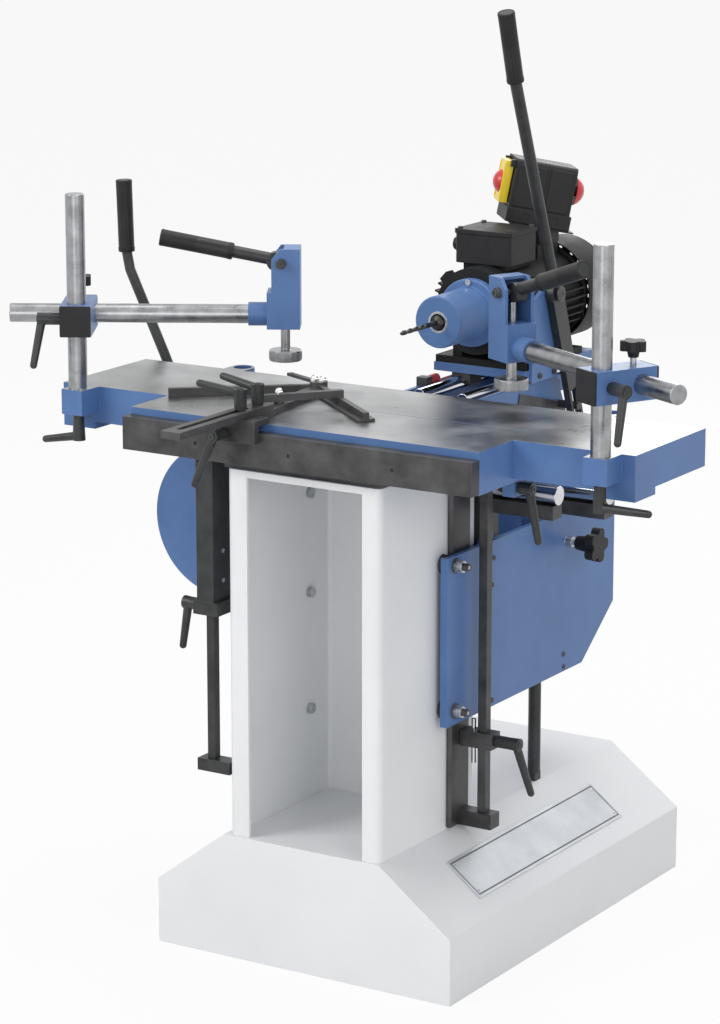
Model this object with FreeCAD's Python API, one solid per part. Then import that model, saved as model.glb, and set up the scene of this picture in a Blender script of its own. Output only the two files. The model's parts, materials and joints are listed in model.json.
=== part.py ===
import FreeCAD, Part
import math
import os

# Horizontal slot mortiser. Millimetres, X to the right, Y to the rear, Z up, floor at z = 0.
V = FreeCAD.Vector
os.makedirs("parts", exist_ok=True)

# Base
BASE_HALF_X = 285.0
BASE_HALF_Y = 400.0
BASE_SKIRT = 112.0
BASE_SLOPE_RISE = 102.0
BASE_TOP = BASE_SKIRT + BASE_SLOPE_RISE
BASE_TOP_HALF = 150.0
BASE_SHEET = 4.0
FOOT_SHEET = 6.0
FOOT_FRAME = 60.0
FOOT_INSET = 1.0
ANCHOR_INSET = 35.0
ANCHOR_RADIUS = 7.0
NAME_PLATE_SHEET = 2.0
NAME_PLATE_LOW = 36.0
NAME_PLATE_HIGH = 118.0
NAME_PLATE_FRONT = -BASE_HALF_Y + 144.0
NAME_PLATE_REAR = BASE_HALF_Y - 158.0

# Column, standing on the flat top of the base
COLUMN_WIDTH = 292.0
COLUMN_DEPTH = 304.0
COLUMN_HEIGHT = 622.0
COLUMN_RIGHT = BASE_TOP_HALF
COLUMN_LEFT = COLUMN_RIGHT - COLUMN_WIDTH
COLUMN_FRONT = -BASE_HALF_Y + 4.0
COLUMN_BACK = COLUMN_FRONT + COLUMN_DEPTH
COLUMN_TOP = BASE_TOP + COLUMN_HEIGHT
COLUMN_SHEET = 6.0
COLUMN_BEND = 12.0
COLUMN_LIP_LEFT = COLUMN_LEFT + 39.0
COLUMN_LIP_RIGHT = COLUMN_RIGHT - 34.0
COLUMN_CAP = 12.0

# Lift rails on both sides of the column
RAIL_SHEET = 10.0
RAIL_WIDTH = 60.0
RAIL_BACK = COLUMN_BACK - 38.0
RAIL_FRONT = RAIL_BACK - RAIL_WIDTH
RAIL_BEVEL = 5.0
RAIL_BOTTOM = BASE_TOP + 4.0
RAIL_TOP = COLUMN_TOP - 6.0
RAIL_BOLT_RISES = (155.0, 359.0, 532.0)
RAIL_BOLT_RADIUS = 5.0
RAIL_BOLT_HEAD = 9.0
BOLT_HEAD_HEIGHT = 8.0

# Carriage heights, which the height stop also uses
CARRIAGE_HEIGHT = 286.0
CARRIAGE_BOTTOM = RAIL_BOTTOM + 186.0
CARRIAGE_TOP = CARRIAGE_BOTTOM + CARRIAGE_HEIGHT

# Height stop beside the right rail
STOP_BAR = 16.0
STOP_BAR_X = COLUMN_RIGHT + RAIL_SHEET + 40.0
STOP_BAR_Y = RAIL_BACK - 18.0
STOP_FOOT_RIGHT = STOP_BAR_X + 22.0
STOP_FOOT_HALF = 15.0
STOP_FOOT_TOP = RAIL_BOTTOM + 26.0
STOP_PIN_X = STOP_BAR_X - 19.5
STOP_PIN_RADIUS = 4.2
STOP_PIN_LENGTH = 76.0
STOP_PIN_TOP = CARRIAGE_BOTTOM - 2.0
STOP_PIN_BOTTOM = STOP_PIN_TOP - STOP_PIN_LENGTH
STOP_BLOCK_HEIGHT = 27.0
STOP_BLOCK_TOP = STOP_PIN_TOP - 19.0
STOP_BLOCK_BOTTOM = STOP_BLOCK_TOP - STOP_BLOCK_HEIGHT
STOP_BLOCK_LEFT = COLUMN_RIGHT + RAIL_SHEET + 2.0
STOP_BLOCK_HALF = 14.5
STOP_SLOT_CLEARANCE = 0.3

# Mounting plate and table
MOUNT_PLATE_SHEET = 12.0
MOUNT_PLATE_HALF_X = BASE_TOP_HALF
MOUNT_PLATE_FRONT = COLUMN_FRONT + 6.0
MOUNT_PLATE_REAR = COLUMN_BACK - 8.0
MOUNT_BOLT_X = 105.0
MOUNT_BOLT_YS = (COLUMN_FRONT + 120.0, COLUMN_BACK - 77.0)
MOUNT_BOLT_RADIUS = 6.0
MOUNT_BOLT_HEAD = 10.0
MOUNT_BOLT_BOSS = 16.0
MOUNT_BOLT_DEPTH = 22.0
TABLE_HEIGHT = 69.0
TABLE_BOTTOM = COLUMN_TOP + MOUNT_PLATE_SHEET
TABLE_TOP = TABLE_BOTTOM + TABLE_HEIGHT
TABLE_HALF_X = 329.0
TABLE_FRONT = COLUMN_FRONT - 1.0
TABLE_REAR = COLUMN_BACK + 44.0
TABLE_SEAM_Y = TABLE_FRONT + 176.0
TABLE_SEAM = 1.4
TABLE_PLATE = 18.0
TABLE_SKIRT = 14.0
TABLE_RIB = 12.0
POCKET_CORNER = 6.0
LOCK_LUG_RIGHT = TABLE_HALF_X - 39.0
LOCK_LUG_SHEET = 22.0
LOCK_LUG_HALF = 15.0
LOCK_LUG_BOTTOM = TABLE_BOTTOM - 44.0
LOCK_Y = TABLE_SEAM_Y + 21.0
LOCK_Z = TABLE_BOTTOM - 30.0

# Table wings with their posts
WING_LENGTH = 216.0
WING_END = TABLE_HALF_X + WING_LENGTH
WING_FRONT = TABLE_SEAM_Y - 70.0
WING_REAR = TABLE_REAR - 2.0
WING_BOTTOM = TABLE_TOP - 62.0
LIP_START = WING_END - 65.0
LIP_REAR = TABLE_SEAM_Y - 1.0
LIP_BOTTOM = WING_BOTTOM - 12.0
LIP_SKIRT = 8.0
BOSS_WIDTH = 42.0
BOSS_FRONT = WING_FRONT - 49.0
BOSS_BOTTOM = TABLE_TOP - 43.0
BOSS_STEP = 8.0
REAR_BORE_X = TABLE_HALF_X + 31.0
REAR_BORE_Y = WING_REAR + 28.0
POST_RADIUS = 16.0
POST_FIT = 0.05
POST_Y = WING_FRONT - 30.0
POST_RIGHT_X = WING_END - 45.0
POST_LEFT_X = -WING_END + 53.0
POST_TOP = TABLE_TOP + 329.0
POST_STUD_DEPTH = 8.0

# Fence rail along the front of the table
FENCE_HALF_X = TABLE_HALF_X + 1.0
FENCE_SHEET = 23.0
FENCE_FRONT = TABLE_FRONT - FENCE_SHEET
FENCE_BOTTOM = TABLE_BOTTOM + 2.0
FENCE_TOP = TABLE_TOP - 12.0
FENCE_SCREW_XS = (-186.0, -7.0, 186.0)
FENCE_SCREW_Z = FENCE_BOTTOM + 26.0
FENCE_SCREW_HEAD = 7.0
FENCE_SCREW_HEAD_HEIGHT = 6.0
FENCE_SCREW_RADIUS = 4.0
FENCE_SCREW_DEPTH = 12.0
FENCE_SCREW_SOCKET = 3.0

# Table prop at the front left corner of the column
PROP_LEFT = COLUMN_LEFT - 58.0
PROP_RIGHT = COLUMN_LEFT - 25.0
PROP_FRONT = COLUMN_FRONT - 4.0
PROP_REAR = PROP_FRONT + 60.0
PROP_SHEET = 3.0
PROP_BOTTOM = TABLE_BOTTOM - 241.0
PROP_BAR = 15.0
PROP_BAR_X = COLUMN_LEFT - 40.5
PROP_BAR_Y = PROP_FRONT + 20.0
PROP_BAR_TOP = TABLE_BOTTOM - 48.0
PROP_FOOT_LEFT = PROP_LEFT - 6.0
PROP_FOOT_BOTTOM = BASE_TOP + 101.0
PROP_FOOT_TOP = PROP_FOOT_BOTTOM + 21.0
PROP_FOOT_HALF = 15.0
PROP_BLOCK_LEFT = PROP_LEFT - 8.0
PROP_BLOCK_RIGHT = PROP_RIGHT + 7.0
PROP_BLOCK_REAR = PROP_REAR + 2.0
PROP_BLOCK_BOTTOM = PROP_BOTTOM - 23.0

# Clamping levers and star knobs
STUD_RADIUS = 5.0
STUD_FIT = 0.05
STUD_DEPTH = 12.0
LONG_STUD = 20.0
HUB_RADIUS = 11.0
HUB_TIP_RADIUS = 9.0
ARM_ROOT_RADIUS = 7.5
ARM_TIP_RADIUS = 6.0
KNOB_RADIUS = 21.0
KNOB_HEIGHT = 16.0
KNOB_NECK = 12.0
KNOB_STUD = 12.0
KNOB_FOOT_SHARE = 0.38
KNOB_NECK_SHARE = 0.5
KNOB_LOBES = 5
CARRIAGE_KNOB_RADIUS = 31.0
CARRIAGE_KNOB_STUD = 8.0
CARRIAGE_KNOB_NECK = 30.0

# Carriage that rises and falls on the lift rails
CARRIAGE_RIGHT = COLUMN_RIGHT + 25.0
CARRIAGE_LEFT = COLUMN_LEFT - 25.0
CARRIAGE_SHEET = 10.0
CARRIAGE_LENGTH = 572.0
CARRIAGE_FRONT = RAIL_FRONT - 32.0
CARRIAGE_REAR = CARRIAGE_FRONT + CARRIAGE_LENGTH
CARRIAGE_STEP_TOP = CARRIAGE_TOP + 8.0
CARRIAGE_CHAMFER_Y = CARRIAGE_REAR - 114.0
CARRIAGE_CHAMFER_Z = CARRIAGE_BOTTOM + 87.0
CARRIAGE_FLANGE = 5.0
CARRIAGE_FLANGE_GAP = 11.0
RISER_ROOT = 50.0
CROSS_PLATE_DEPTH = 30.0
CROSS_PLATE_DROPS = (RISER_ROOT + 40.0, RISER_ROOT)
PAD_RISES = (36.0, 236.0)
RAIL_PAD = 11.5
RAIL_PAD_HEIGHT = 30.0
RAIL_PAD_GAP = 0.5
ROLLER_RADIUS = 16.5
ROLLER_GROOVE = 4.0
ROLLER_CLEARANCE = 0.4
ROLLER_Y = RAIL_FRONT - (ROLLER_RADIUS - ROLLER_GROOVE) - ROLLER_CLEARANCE
ROLLER_HALF_WIDTH = 4.4
ROLLER_LEVELS = (CARRIAGE_BOTTOM + 24.0, CARRIAGE_TOP - 16.0)
ROLLER_AXLE = 5.0
ROLLER_FIT = 0.05
ROLLER_BOLT_LENGTH = 26.0
ROLLER_NUT_LENGTH = 16.0
ROLLER_NUT_RADIUS = 9.0
GUIDE_RADIUS = 16.0
GUIDE_OVERHANG = 113.0
GUIDE_LEFT = CARRIAGE_LEFT - GUIDE_OVERHANG
GUIDE_RIGHT = CARRIAGE_RIGHT + GUIDE_OVERHANG
GUIDE_FRONT_Y = COLUMN_BACK + 32.0
GUIDE_FRONT_Z = CARRIAGE_TOP + 86.0
GUIDE_REAR_Y = GUIDE_FRONT_Y + 180.0
GUIDE_REAR_Z = CARRIAGE_TOP + 51.0
CARRIAGE_STEP_Y = GUIDE_REAR_Y + 33.0
BEAM_HALF = 15.0
BEAM_HEIGHT = 24.0
BEAM_END_GAP = 4.0
RISER_LENGTH = 40.0
KNOB_Y = GUIDE_REAR_Y + 56.0
KNOB_Z = CARRIAGE_TOP - 55.0
KNOB_BOSS_LENGTH = 12.0
KNOB_BOSS_RADIUS = 9.0

# Gas strut between the base and the carriage
STRUT_X = COLUMN_RIGHT - 8.0
STRUT_Y = GUIDE_REAR_Y + 8.0
STRUT_RADIUS = 11.0
STRUT_BORE = 9.0
STRUT_ROD = 5.0
STRUT_ROD_FIT = 0.1
STRUT_TOP = BASE_TOP + 286.0
STRUT_ROD_BOTTOM = STRUT_TOP - 170.0
STRUT_ROD_TOP = CARRIAGE_TOP - 90.0
STRUT_FOOT_HALF = 10.0
STRUT_FOOT_HEIGHT = 15.0
STRUT_SEAL = 6.0

# Cross lever and its guard disc on the left
CROSS_X = CARRIAGE_LEFT - 235.0
CROSS_Z = CARRIAGE_TOP - 50.0
CROSS_ROD_Y = -8.0
CROSS_ROD_RADIUS = 9.0
DISC_RADIUS = 136.0
DISC_FRONT = CROSS_ROD_Y - 26.0
DISC_SHEET = 4.0
DISC_CAP_RADIUS = 12.0
DISC_CAP_HEIGHT = 6.0
CROSS_AXLE = 10.0
CROSS_HUB_RADIUS = 22.0
CROSS_HUB_HALF = 12.0
CROSS_BRACKET_FRONT = CROSS_ROD_Y + 40.0
CROSS_BRACKET_SHEET = 30.0
CROSS_BEND_ACROSS = 134.0
CROSS_BEND_RISE = 283.0
CROSS_SHOULDER_ACROSS = 204.0
CROSS_SHOULDER_RISE = 424.0
CROSS_GRIP_ACROSS = 211.0
CROSS_GRIP_RISE = 456.0
CROSS_END_ACROSS = 215.0
CROSS_END_RISE = 582.0
CRANK_RADIUS = 190.0
CRANK_OFFSET = 30.0
CRANK_SHEET = 8.0
CRANK_HALF = 12.0
CRANK_PIN = 7.0
CRANK_PIN_REAR = CROSS_ROD_Y + 36.0
FORK_CLEARANCE = 2.2
FORK_FRONT = CROSS_ROD_Y + 26.0
FORK_SHEET = 8.0
FORK_HALF = 22.0
FORK_GAP_BELOW = 27.0
FORK_GAP_ABOVE = 14.0
FORK_BRIDGE = 11.0

# Long slide along X on the guide bars
SLIDE_PLATE = 8.0
SLIDE_RIGHT = 122.0
SLIDE_LEFT = -32.0
SLIDE_FRONT = GUIDE_FRONT_Y + 26.0
SLIDE_TOP = GUIDE_FRONT_Z + 136.0
SLIDE_FRONT_FOOT = GUIDE_FRONT_Z + 22.0
SLIDE_REAR_FOOT = GUIDE_REAR_Z + 24.0
BEARING_LENGTH = 40.0
BEARING_HALF = 24.0
BEARING_LAP = 14.0
BEARING_BELOW = 8.0
BEARING_ABOVE = 28.0
BEARING_FIT = 0.05
BUFFER_BLOCK_FRONT = SLIDE_FRONT + 50.0
BUFFER_BLOCK_DEPTH = 18.0
BUFFER_BLOCK_WIDTH = 20.0
BUFFER_BLOCK_RISE = 16.0
BUFFER_RADIUS = 8.0
BUFFER_LENGTH = 28.0

# Depth slide along Y on two rails, its plate and its lever
SPINDLE_X = (SLIDE_LEFT + SLIDE_RIGHT) / 2
DEPTH_RAIL_RADIUS = 10.0
DEPTH_RAIL_HALF = 42.0
DEPTH_RAIL_XS = (SPINDLE_X - DEPTH_RAIL_HALF, SPINDLE_X + DEPTH_RAIL_HALF)
DEPTH_RAIL_Z = SLIDE_TOP - 2.0
DEPTH_RAIL_LENGTH = 434.0
DEPTH_RAIL_FRONT = SLIDE_FRONT
DEPTH_RAIL_REAR = DEPTH_RAIL_FRONT + DEPTH_RAIL_LENGTH
RAIL_BEAM_HEIGHT = 30.0
RAIL_BEAM_HALF = 8.0
RAIL_TIE_DEPTH = 22.0
RAIL_TIE_GAP = 234.0
DEPTH_PLATE_SHEET = 15.0
DEPTH_PLATE_LENGTH = 248.0
DEPTH_PLATE_LEFT = SLIDE_LEFT - 14.0
DEPTH_PLATE_RIGHT = SLIDE_RIGHT + 12.0
DEPTH_PLATE_FRONT = DEPTH_RAIL_FRONT + 131.0
DEPTH_PLATE_REAR = DEPTH_PLATE_FRONT + DEPTH_PLATE_LENGTH
DEPTH_PLATE_BOTTOM = DEPTH_RAIL_Z + 15.0
DEPTH_PLATE_TOP = DEPTH_PLATE_BOTTOM + DEPTH_PLATE_SHEET
DEPTH_BEARING_SETS = (8.0, 118.0)
DEPTH_BEARING_HALF = 18.0
DEPTH_BEARING_BELOW = 7.0
GUSSET_SHEET = 7.0
LEVER_SHEET = 12.0
LEVER_GAP = 4.0
LEVER_CENTRE_X = DEPTH_PLATE_RIGHT + GUSSET_SHEET + LEVER_GAP + LEVER_SHEET / 2
LEVER_PIVOT_Y = DEPTH_PLATE_FRONT + 69.0
LEVER_PIVOT_Z = DEPTH_PLATE_TOP + 125.0
LEVER_PIVOT_RADIUS = 8.0
LEVER_EYE_RADIUS = 20.0
LEVER_PIN_Y = LEVER_PIVOT_Y + 72.0
LEVER_PIN_Z = LEVER_PIVOT_Z - 205.0
LEVER_PIN_RADIUS = 7.0
LEVER_PIN_END = 10.0
LEVER_FORK_CLEARANCE = 3.2
LEVER_FORK_REACH = 60.0
LEVER_FORK_DEPTH = 34.0
LEVER_STEM_RADIUS = 9.0
LEVER_ROD_RADIUS = 10.0
LEVER_KNEE_FORWARD = 16.0
LEVER_KNEE_RISE = 45.0
LEVER_GRIP_FORWARD = 144.0
LEVER_GRIP_RISE = 371.0
LEVER_END_FORWARD = 178.0
LEVER_END_RISE = 487.0

# Motor and spindle
MOTOR_RADIUS = 74.0
MOTOR_FIN_RADIUS = MOTOR_RADIUS + 7.0
MOTOR_FIN_SHEET = 3.0
MOTOR_FIN_STEP = 10
MOTOR_LENGTH = 255.0
MOTOR_FRONT = DEPTH_PLATE_FRONT - 22.0
MOTOR_REAR = MOTOR_FRONT + MOTOR_LENGTH
MOTOR_FRONT_SHIELD = 18.0
MOTOR_REAR_SHIELD = 14.0
SHIELD_LUG_ANGLES = (42.0, 138.0, 222.0, 318.0)
SHIELD_LUG_HALF = 9.0
STATOR_BORE = MOTOR_RADIUS - 34.0
MOTOR_FOOT_SHEET = 12.0
MOTOR_LEG_SHEET = 18.0
SPINDLE_Z = DEPTH_PLATE_TOP + MOTOR_RADIUS + 24.0
NOSE_REAR = MOTOR_FRONT
NOSE_LENGTH = 119.0
NOSE_FRONT = NOSE_REAR - NOSE_LENGTH
NOSE_RADIUS = 44.0
NOSE_FLANGE_RADIUS = NOSE_RADIUS + 14.0
NOSE_FLANGE = 18.0
NOSE_BORE = NOSE_RADIUS - 14.0
NOSE_WALL = 8.0
NOSE_HOLE = 14.0
SHAFT_RADIUS = 12.0
SHAFT_FIT = 0.05
SHAFT_REAR = MOTOR_REAR + 42.0
CORE_FRONT = MOTOR_FRONT + 65.0
CORE_REAR = MOTOR_REAR - 50.0
CORE_GAP = 1.0
FAN_HUB_RADIUS = 18.0
FAN_RADIUS = 72.0
FAN_BLADES = 8
FAN_BLADE_SHEET = 3.0
BIT_RADIUS = 4.2
BIT_REACH = 119.0
BIT_TIP = NOSE_FRONT - BIT_REACH
BIT_SOCKET = 36.0
BIT_POINT = 6.0
COWL_RADIUS = MOTOR_FIN_RADIUS + 8.0
COWL_SHEET = 2.5
COWL_FRONT = MOTOR_REAR - 8.0
COWL_REAR = MOTOR_REAR + 70.0
COWL_SLOTS = 18
COWL_SLOT_WIDTH = 6.0
COWL_SLOT_INNER = 26.0
COWL_SLOT_OUTER = COWL_RADIUS - 15.0
TERMINAL_LEFT = SPINDLE_X - 60.0
TERMINAL_RIGHT = SPINDLE_X + 47.0
TERMINAL_FRONT = MOTOR_FRONT + 38.0
TERMINAL_REAR = TERMINAL_FRONT + 93.0
TERMINAL_BOTTOM = SPINDLE_Z + MOTOR_RADIUS
TERMINAL_TOP = TERMINAL_BOTTOM + 51.0
TERMINAL_LID = 7.0
TERMINAL_LID_EDGE = 2.0
TERMINAL_CORNER = 6.0
GLAND_RADIUS = 11.0
GLAND_NUT_RADIUS = 13.0
GLAND_Y = TERMINAL_FRONT + 37.0
GLAND_Z = TERMINAL_BOTTOM + 26.0

# Switch box behind the terminal box
SWITCH_CENTRE = V(SPINDLE_X + 2.0, MOTOR_REAR - 40.0, SPINDLE_Z + MOTOR_RADIUS + 103.0)
SWITCH_TURN = 40.0
SWITCH_TILT = 11.0
SWITCH_LENGTH = 108.0
SWITCH_WIDTH = 78.0
SWITCH_HEIGHT = 108.0
SWITCH_CORNER = 8.0
SWITCH_BRACKET = 18.0
SWITCH_FOOT_HEIGHT = 58.0
HINGE_OUT = 4.0
HINGE_DROP = 10.0
HINGE_PIN = 2.0
HINGE_PIN_HALF = 28.0
HINGE_FIT = 0.1
HINGE_EAR = 8.0
FLAP_HALF = 23.0
FLAP_SHEET = 14.0
FLAP_GAP = 2.0
FLAP_TOP_GAP = 7.4
FLAP_BOTTOM_GAP = 28.0
FLAP_BUTTON_RADIUS = 20.0
FLAP_BUTTON_HEIGHT = 12.0
FLAP_BUTTON_RISE = 8.0
MUSHROOM_RADIUS = 25.0
MUSHROOM_HEIGHT = 17.0
MUSHROOM_RISE = 12.0
MUSHROOM_STEM = 9.0
MUSHROOM_OUT = 8.0
MUSHROOM_FIT = 0.05

# Clamps on the two posts
CLAMP_RIGHT_Z = TABLE_TOP + 111.0
CLAMP_LEFT_Z = TABLE_TOP + 118.0
TUBE_SIZE = 52.0
TUBE_SHEET = 5.0
TUBE_FRONT = 27.0
ARM_OFFSET = 58.0
TUBE_REAR = ARM_OFFSET + 27.0
TUBE_STUD_DEPTH = TUBE_SIZE / 2 - POST_RADIUS
TUBE_CORNER = 3.0
CAP_SHEET = 3.0
POST_WEB = 24.0
ARM_WEB = 22.0
ARM_FIT = 0.05
HEAD_WIDTH = 56.0
HEAD_FRONT = 26.0
HEAD_BACK = 22.0
HEAD_FOOT_BACK = 30.0
HEAD_FOOT_HEIGHT = 62.0
HEAD_HEIGHT = HEAD_FOOT_HEIGHT + 74.0
HEAD_CHEEK = 6.0
HEAD_CHAMFER = 18.0
HEAD_CHAMFER_RUN = 14.0
HEAD_TOP_SHEET = 5.0
HEAD_TOP_BACK = 2.0
HEAD_ARM_RISE = 22.0
HEAD_COLLAR = 32.0
HEAD_COLLAR_WALL = 4.0
HANDLE_BACK = 5.0
HANDLE_RISE = HEAD_HEIGHT - 24.0
HANDLE_LENGTH = 208.0
HANDLE_GRIP = 124.0
HANDLE_GRIP_RADIUS = 14.0
HANDLE_ROD_RADIUS = 10.5
HANDLE_SHEET = 20.0
HANDLE_EYE = 11.0
HANDLE_BOLT = 5.0
HANDLE_BOLT_HEAD = 8.5
CAM_RADIUS = 16.0
CAM_THROW = 10.0
CAM_GAP = 0.8
PLUNGER_RADIUS = 8.0
PAD_RADIUS = 27.5
PAD_HEIGHT = 18.0
PAD_DROP_RIGHT = 49.0
PAD_DROP_LEFT = 57.0

# Stop on the table
SLOT_BAR_X = -100.0
SLOT_BAR_WIDTH = 36.0
SLOT_BAR_SHEET = 12.0
TABLE_GAP = 0.4
CLAW_LEFT = SLOT_BAR_X - 42.0
CLAW_RIGHT = SLOT_BAR_X + 38.0
CLAW_FRONT = FENCE_FRONT - 14.0
CLAW_REAR = TABLE_FRONT + 5.0
CLAW_TOP = TABLE_TOP + 11.0
CLAW_LEG_BOTTOM = FENCE_TOP - 15.0
CLAW_LEVER_X = CLAW_LEFT + 22.0
CLAW_LEVER_Z = FENCE_TOP - 1.0
SLOT_BAR_FRONT = CLAW_FRONT - 178.0
SLOT_BAR_REAR = TABLE_FRONT + 51.0
SLOT_BAR_TOP = CLAW_TOP + SLOT_BAR_SHEET
SLOT_WIDTH = 11.0
SLOT_FRONT = SLOT_BAR_FRONT + 22.0
SLOT_REAR = SLOT_BAR_REAR - 50.0
FRONT_STUD_Y = FENCE_FRONT + 4.0
REAR_STUD_Y = SLOT_BAR_REAR - 20.0
APEX = (SLOT_BAR_X - 28.0, REAR_STUD_Y + 226.0)
VEE_LEFT_END = (APEX[0] - 194.0, APEX[1] - 160.0)
VEE_RIGHT_END = (APEX[0] + 190.0, APEX[1] - 156.0)
VEE_TOP = TABLE_TOP + 15.0
VEE_SHEET = 10.0
VEE_FOOT_SHEET = 4.0
LINK_WIDTH = 30.0
BRACE_START = (APEX[0], APEX[1] - 176.0)
BRACE_END = (APEX[0] + 90.0, APEX[1] - 68.0)
BRACE_SECTION = 12.0
SPACER = (APEX[0] + 20.0, APEX[1] - 152.0)
SPACER_RADIUS = 8.0
THIN_START = (APEX[0] - 82.0, APEX[1] + 36.0)
THIN_SHEET = 5.0
NUT_RADIUS = 6.5
NUT_HEIGHT = 8.0
NUT_SIDE = 8.0
LOW_NUT_HEIGHT = 4.0


def box(x0, x1, y0, y1, z0, z1):
    return Part.makeBox(x1 - x0, y1 - y0, z1 - z0, V(x0, y0, z0))


def rod(start, end, radius):
    axis = end - start
    return Part.makeCylinder(radius, axis.Length, start, axis)


def dome(foot, direction, radius, height):
    """A button head: a low ball end whose flat face sits at foot."""
    ball = (radius ** 2 + height ** 2) / (2 * height)
    centre = foot - direction * (ball - height)
    cap = Part.makeSphere(ball, centre)
    return cap.common(rod(foot, foot + direction * (height + 1), radius))


def cone(start, end, radius_start, radius_end):
    axis = end - start
    return Part.makeCone(radius_start, radius_end, axis.Length, start, axis)


def plate_along_x(points, x0, x1):
    corners = [V(x0, y, z) for y, z in points]
    face = Part.Face(Part.makePolygon(corners + corners[:1]))
    return face.extrude(V(x1 - x0, 0, 0))


def plate_along_y(points, y0, y1):
    corners = [V(x, y0, z) for x, z in points]
    face = Part.Face(Part.makePolygon(corners + corners[:1]))
    return face.extrude(V(0, y1 - y0, 0))


def plate_along_z(points, z0, z1):
    corners = [V(x, y, z0) for x, y in points]
    face = Part.Face(Part.makePolygon(corners + corners[:1]))
    return face.extrude(V(0, 0, z1 - z0))


def bar_between(start, end, width, z0, z1):
    """Flat bar lying between two (x, y) points."""
    run = V(end[0] - start[0], end[1] - start[1], 0)
    bar = box(0, run.Length, -width / 2, width / 2, z0, z1)
    turn = math.degrees(math.atan2(run.y, run.x))
    bar.rotate(V(0, 0, 0), V(0, 0, 1), turn)
    bar.translate(V(start[0], start[1], 0))
    return bar


def joined(shapes):
    whole = shapes[0].multiFuse(shapes[1:])
    return whole.removeSplitter()


def rounded(shape, radius, axis):
    """Fillet the straight edges that run along one axis."""
    edges = []
    for edge in shape.Edges:
        run = edge.Vertexes[-1].Point - edge.Vertexes[0].Point
        if run.Length > 1e-6 and abs(abs(run.dot(axis)) - run.Length) < 1e-6:
            edges.append(edge)
    return shape.makeFillet(radius, edges)


def placed(shape, origin, x_axis, z_axis):
    """Move a shape drawn about its own origin so that its x and z axes point as given."""
    z_unit = V(z_axis).normalize()
    y_unit = z_unit.cross(V(x_axis)).normalize()
    x_unit = y_unit.cross(z_unit)
    moved = shape.copy()
    turn = FreeCAD.Rotation(x_unit, y_unit, z_unit, "ZXY")
    moved.Placement = FreeCAD.Placement(origin, turn)
    return moved


def write(name, shapes):
    solids = []
    for shape in shapes:
        solids.extend(shape.Solids)
    whole = solids[0] if len(solids) == 1 else Part.makeCompound(solids)
    if not whole.isValid():
        print("not valid:", name)
    whole.exportStep("parts/" + name + ".step")


def lever_body(hub_height, arm_length, tip_height):
    """Hub and arm of a lever with its seat at the origin and its arm towards +x."""
    hub = cone(V(0, 0, 0), V(0, 0, hub_height), HUB_TIP_RADIUS, HUB_RADIUS)
    root = V(0, 0, hub_height - ARM_ROOT_RADIUS)
    tip = V(arm_length, 0, tip_height)
    arm = cone(root, tip, ARM_ROOT_RADIUS, ARM_TIP_RADIUS)
    end = Part.makeSphere(ARM_TIP_RADIUS, tip)
    return joined([hub, arm, end])


def clamp_lever(hub_height, arm_length, tip_height, stud_depth=STUD_DEPTH):
    """Lever with its stud, which points down."""
    stud = rod(V(0, 0, -stud_depth), V(0, 0, 2), STUD_RADIUS)
    return joined([lever_body(hub_height, arm_length, tip_height), stud])


def stud_hole(origin, axis):
    """Hole for the stud of a lever seated at origin with its hub along axis."""
    outward = V(axis).normalize()
    start = origin - outward * (STUD_DEPTH + 1)
    return rod(start, origin + outward, STUD_RADIUS + STUD_FIT)


def star_knob(radius, stud_height, neck_length=KNOB_NECK, stud_depth=STUD_DEPTH):
    """Star knob whose stud stands up along +z from the seat at the origin."""
    stud = rod(V(0, 0, -stud_depth), V(0, 0, stud_height + 2), STUD_RADIUS)
    neck_top = stud_height + neck_length
    neck = cone(V(0, 0, stud_height), V(0, 0, neck_top), radius * KNOB_FOOT_SHARE, radius * KNOB_NECK_SHARE)
    base = V(0, 0, neck_top - 2)
    top = base + V(0, 0, KNOB_HEIGHT)
    pieces = [stud, neck, rod(base, top, radius * 0.7)]
    for index in range(KNOB_LOBES):
        angle = 2 * math.pi * index / KNOB_LOBES
        shift = V(math.cos(angle), math.sin(angle), 0) * radius * 0.66
        pieces.append(rod(base + shift, top + shift, radius * 0.34))
    return joined(pieces)


# Base and column

def base_profile(inset):
    run = BASE_HALF_X - BASE_TOP_HALF
    rise = BASE_TOP - BASE_SKIRT
    slope = math.hypot(run, rise)
    half = BASE_HALF_X - inset
    skirt = BASE_SKIRT + inset * (rise - slope) / run
    top_half = BASE_TOP_HALF + inset * (run - slope) / rise
    top = BASE_TOP - inset
    floor = 0.0 if inset == 0 else -1.0
    return [(-half, floor), (-half, skirt), (-top_half, top), (top_half, top), (half, skirt), (half, floor)]


def make_base():
    outer = plate_along_y(base_profile(0), -BASE_HALF_Y, BASE_HALF_Y)
    inner_y = BASE_HALF_Y - BASE_SHEET
    inner = plate_along_y(base_profile(BASE_SHEET), -inner_y, inner_y)
    shell = outer.cut(inner)
    foot_x = BASE_HALF_X - FOOT_INSET
    foot_y = BASE_HALF_Y - FOOT_INSET
    open_x = BASE_HALF_X - FOOT_FRAME
    open_y = BASE_HALF_Y - FOOT_FRAME
    foot = box(-foot_x, foot_x, -foot_y, foot_y, 0, FOOT_SHEET)
    foot = foot.cut(box(-open_x, open_x, -open_y, open_y, -1, FOOT_SHEET + 1))
    base = joined([shell, foot])
    anchor_x = BASE_HALF_X - ANCHOR_INSET
    anchor_y = BASE_HALF_Y - ANCHOR_INSET
    for x in (-anchor_x, anchor_x):
        for y in (-anchor_y, anchor_y):
            base = base.cut(rod(V(x, y, -1), V(x, y, FOOT_SHEET + 1), ANCHOR_RADIUS))
    return base


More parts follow.
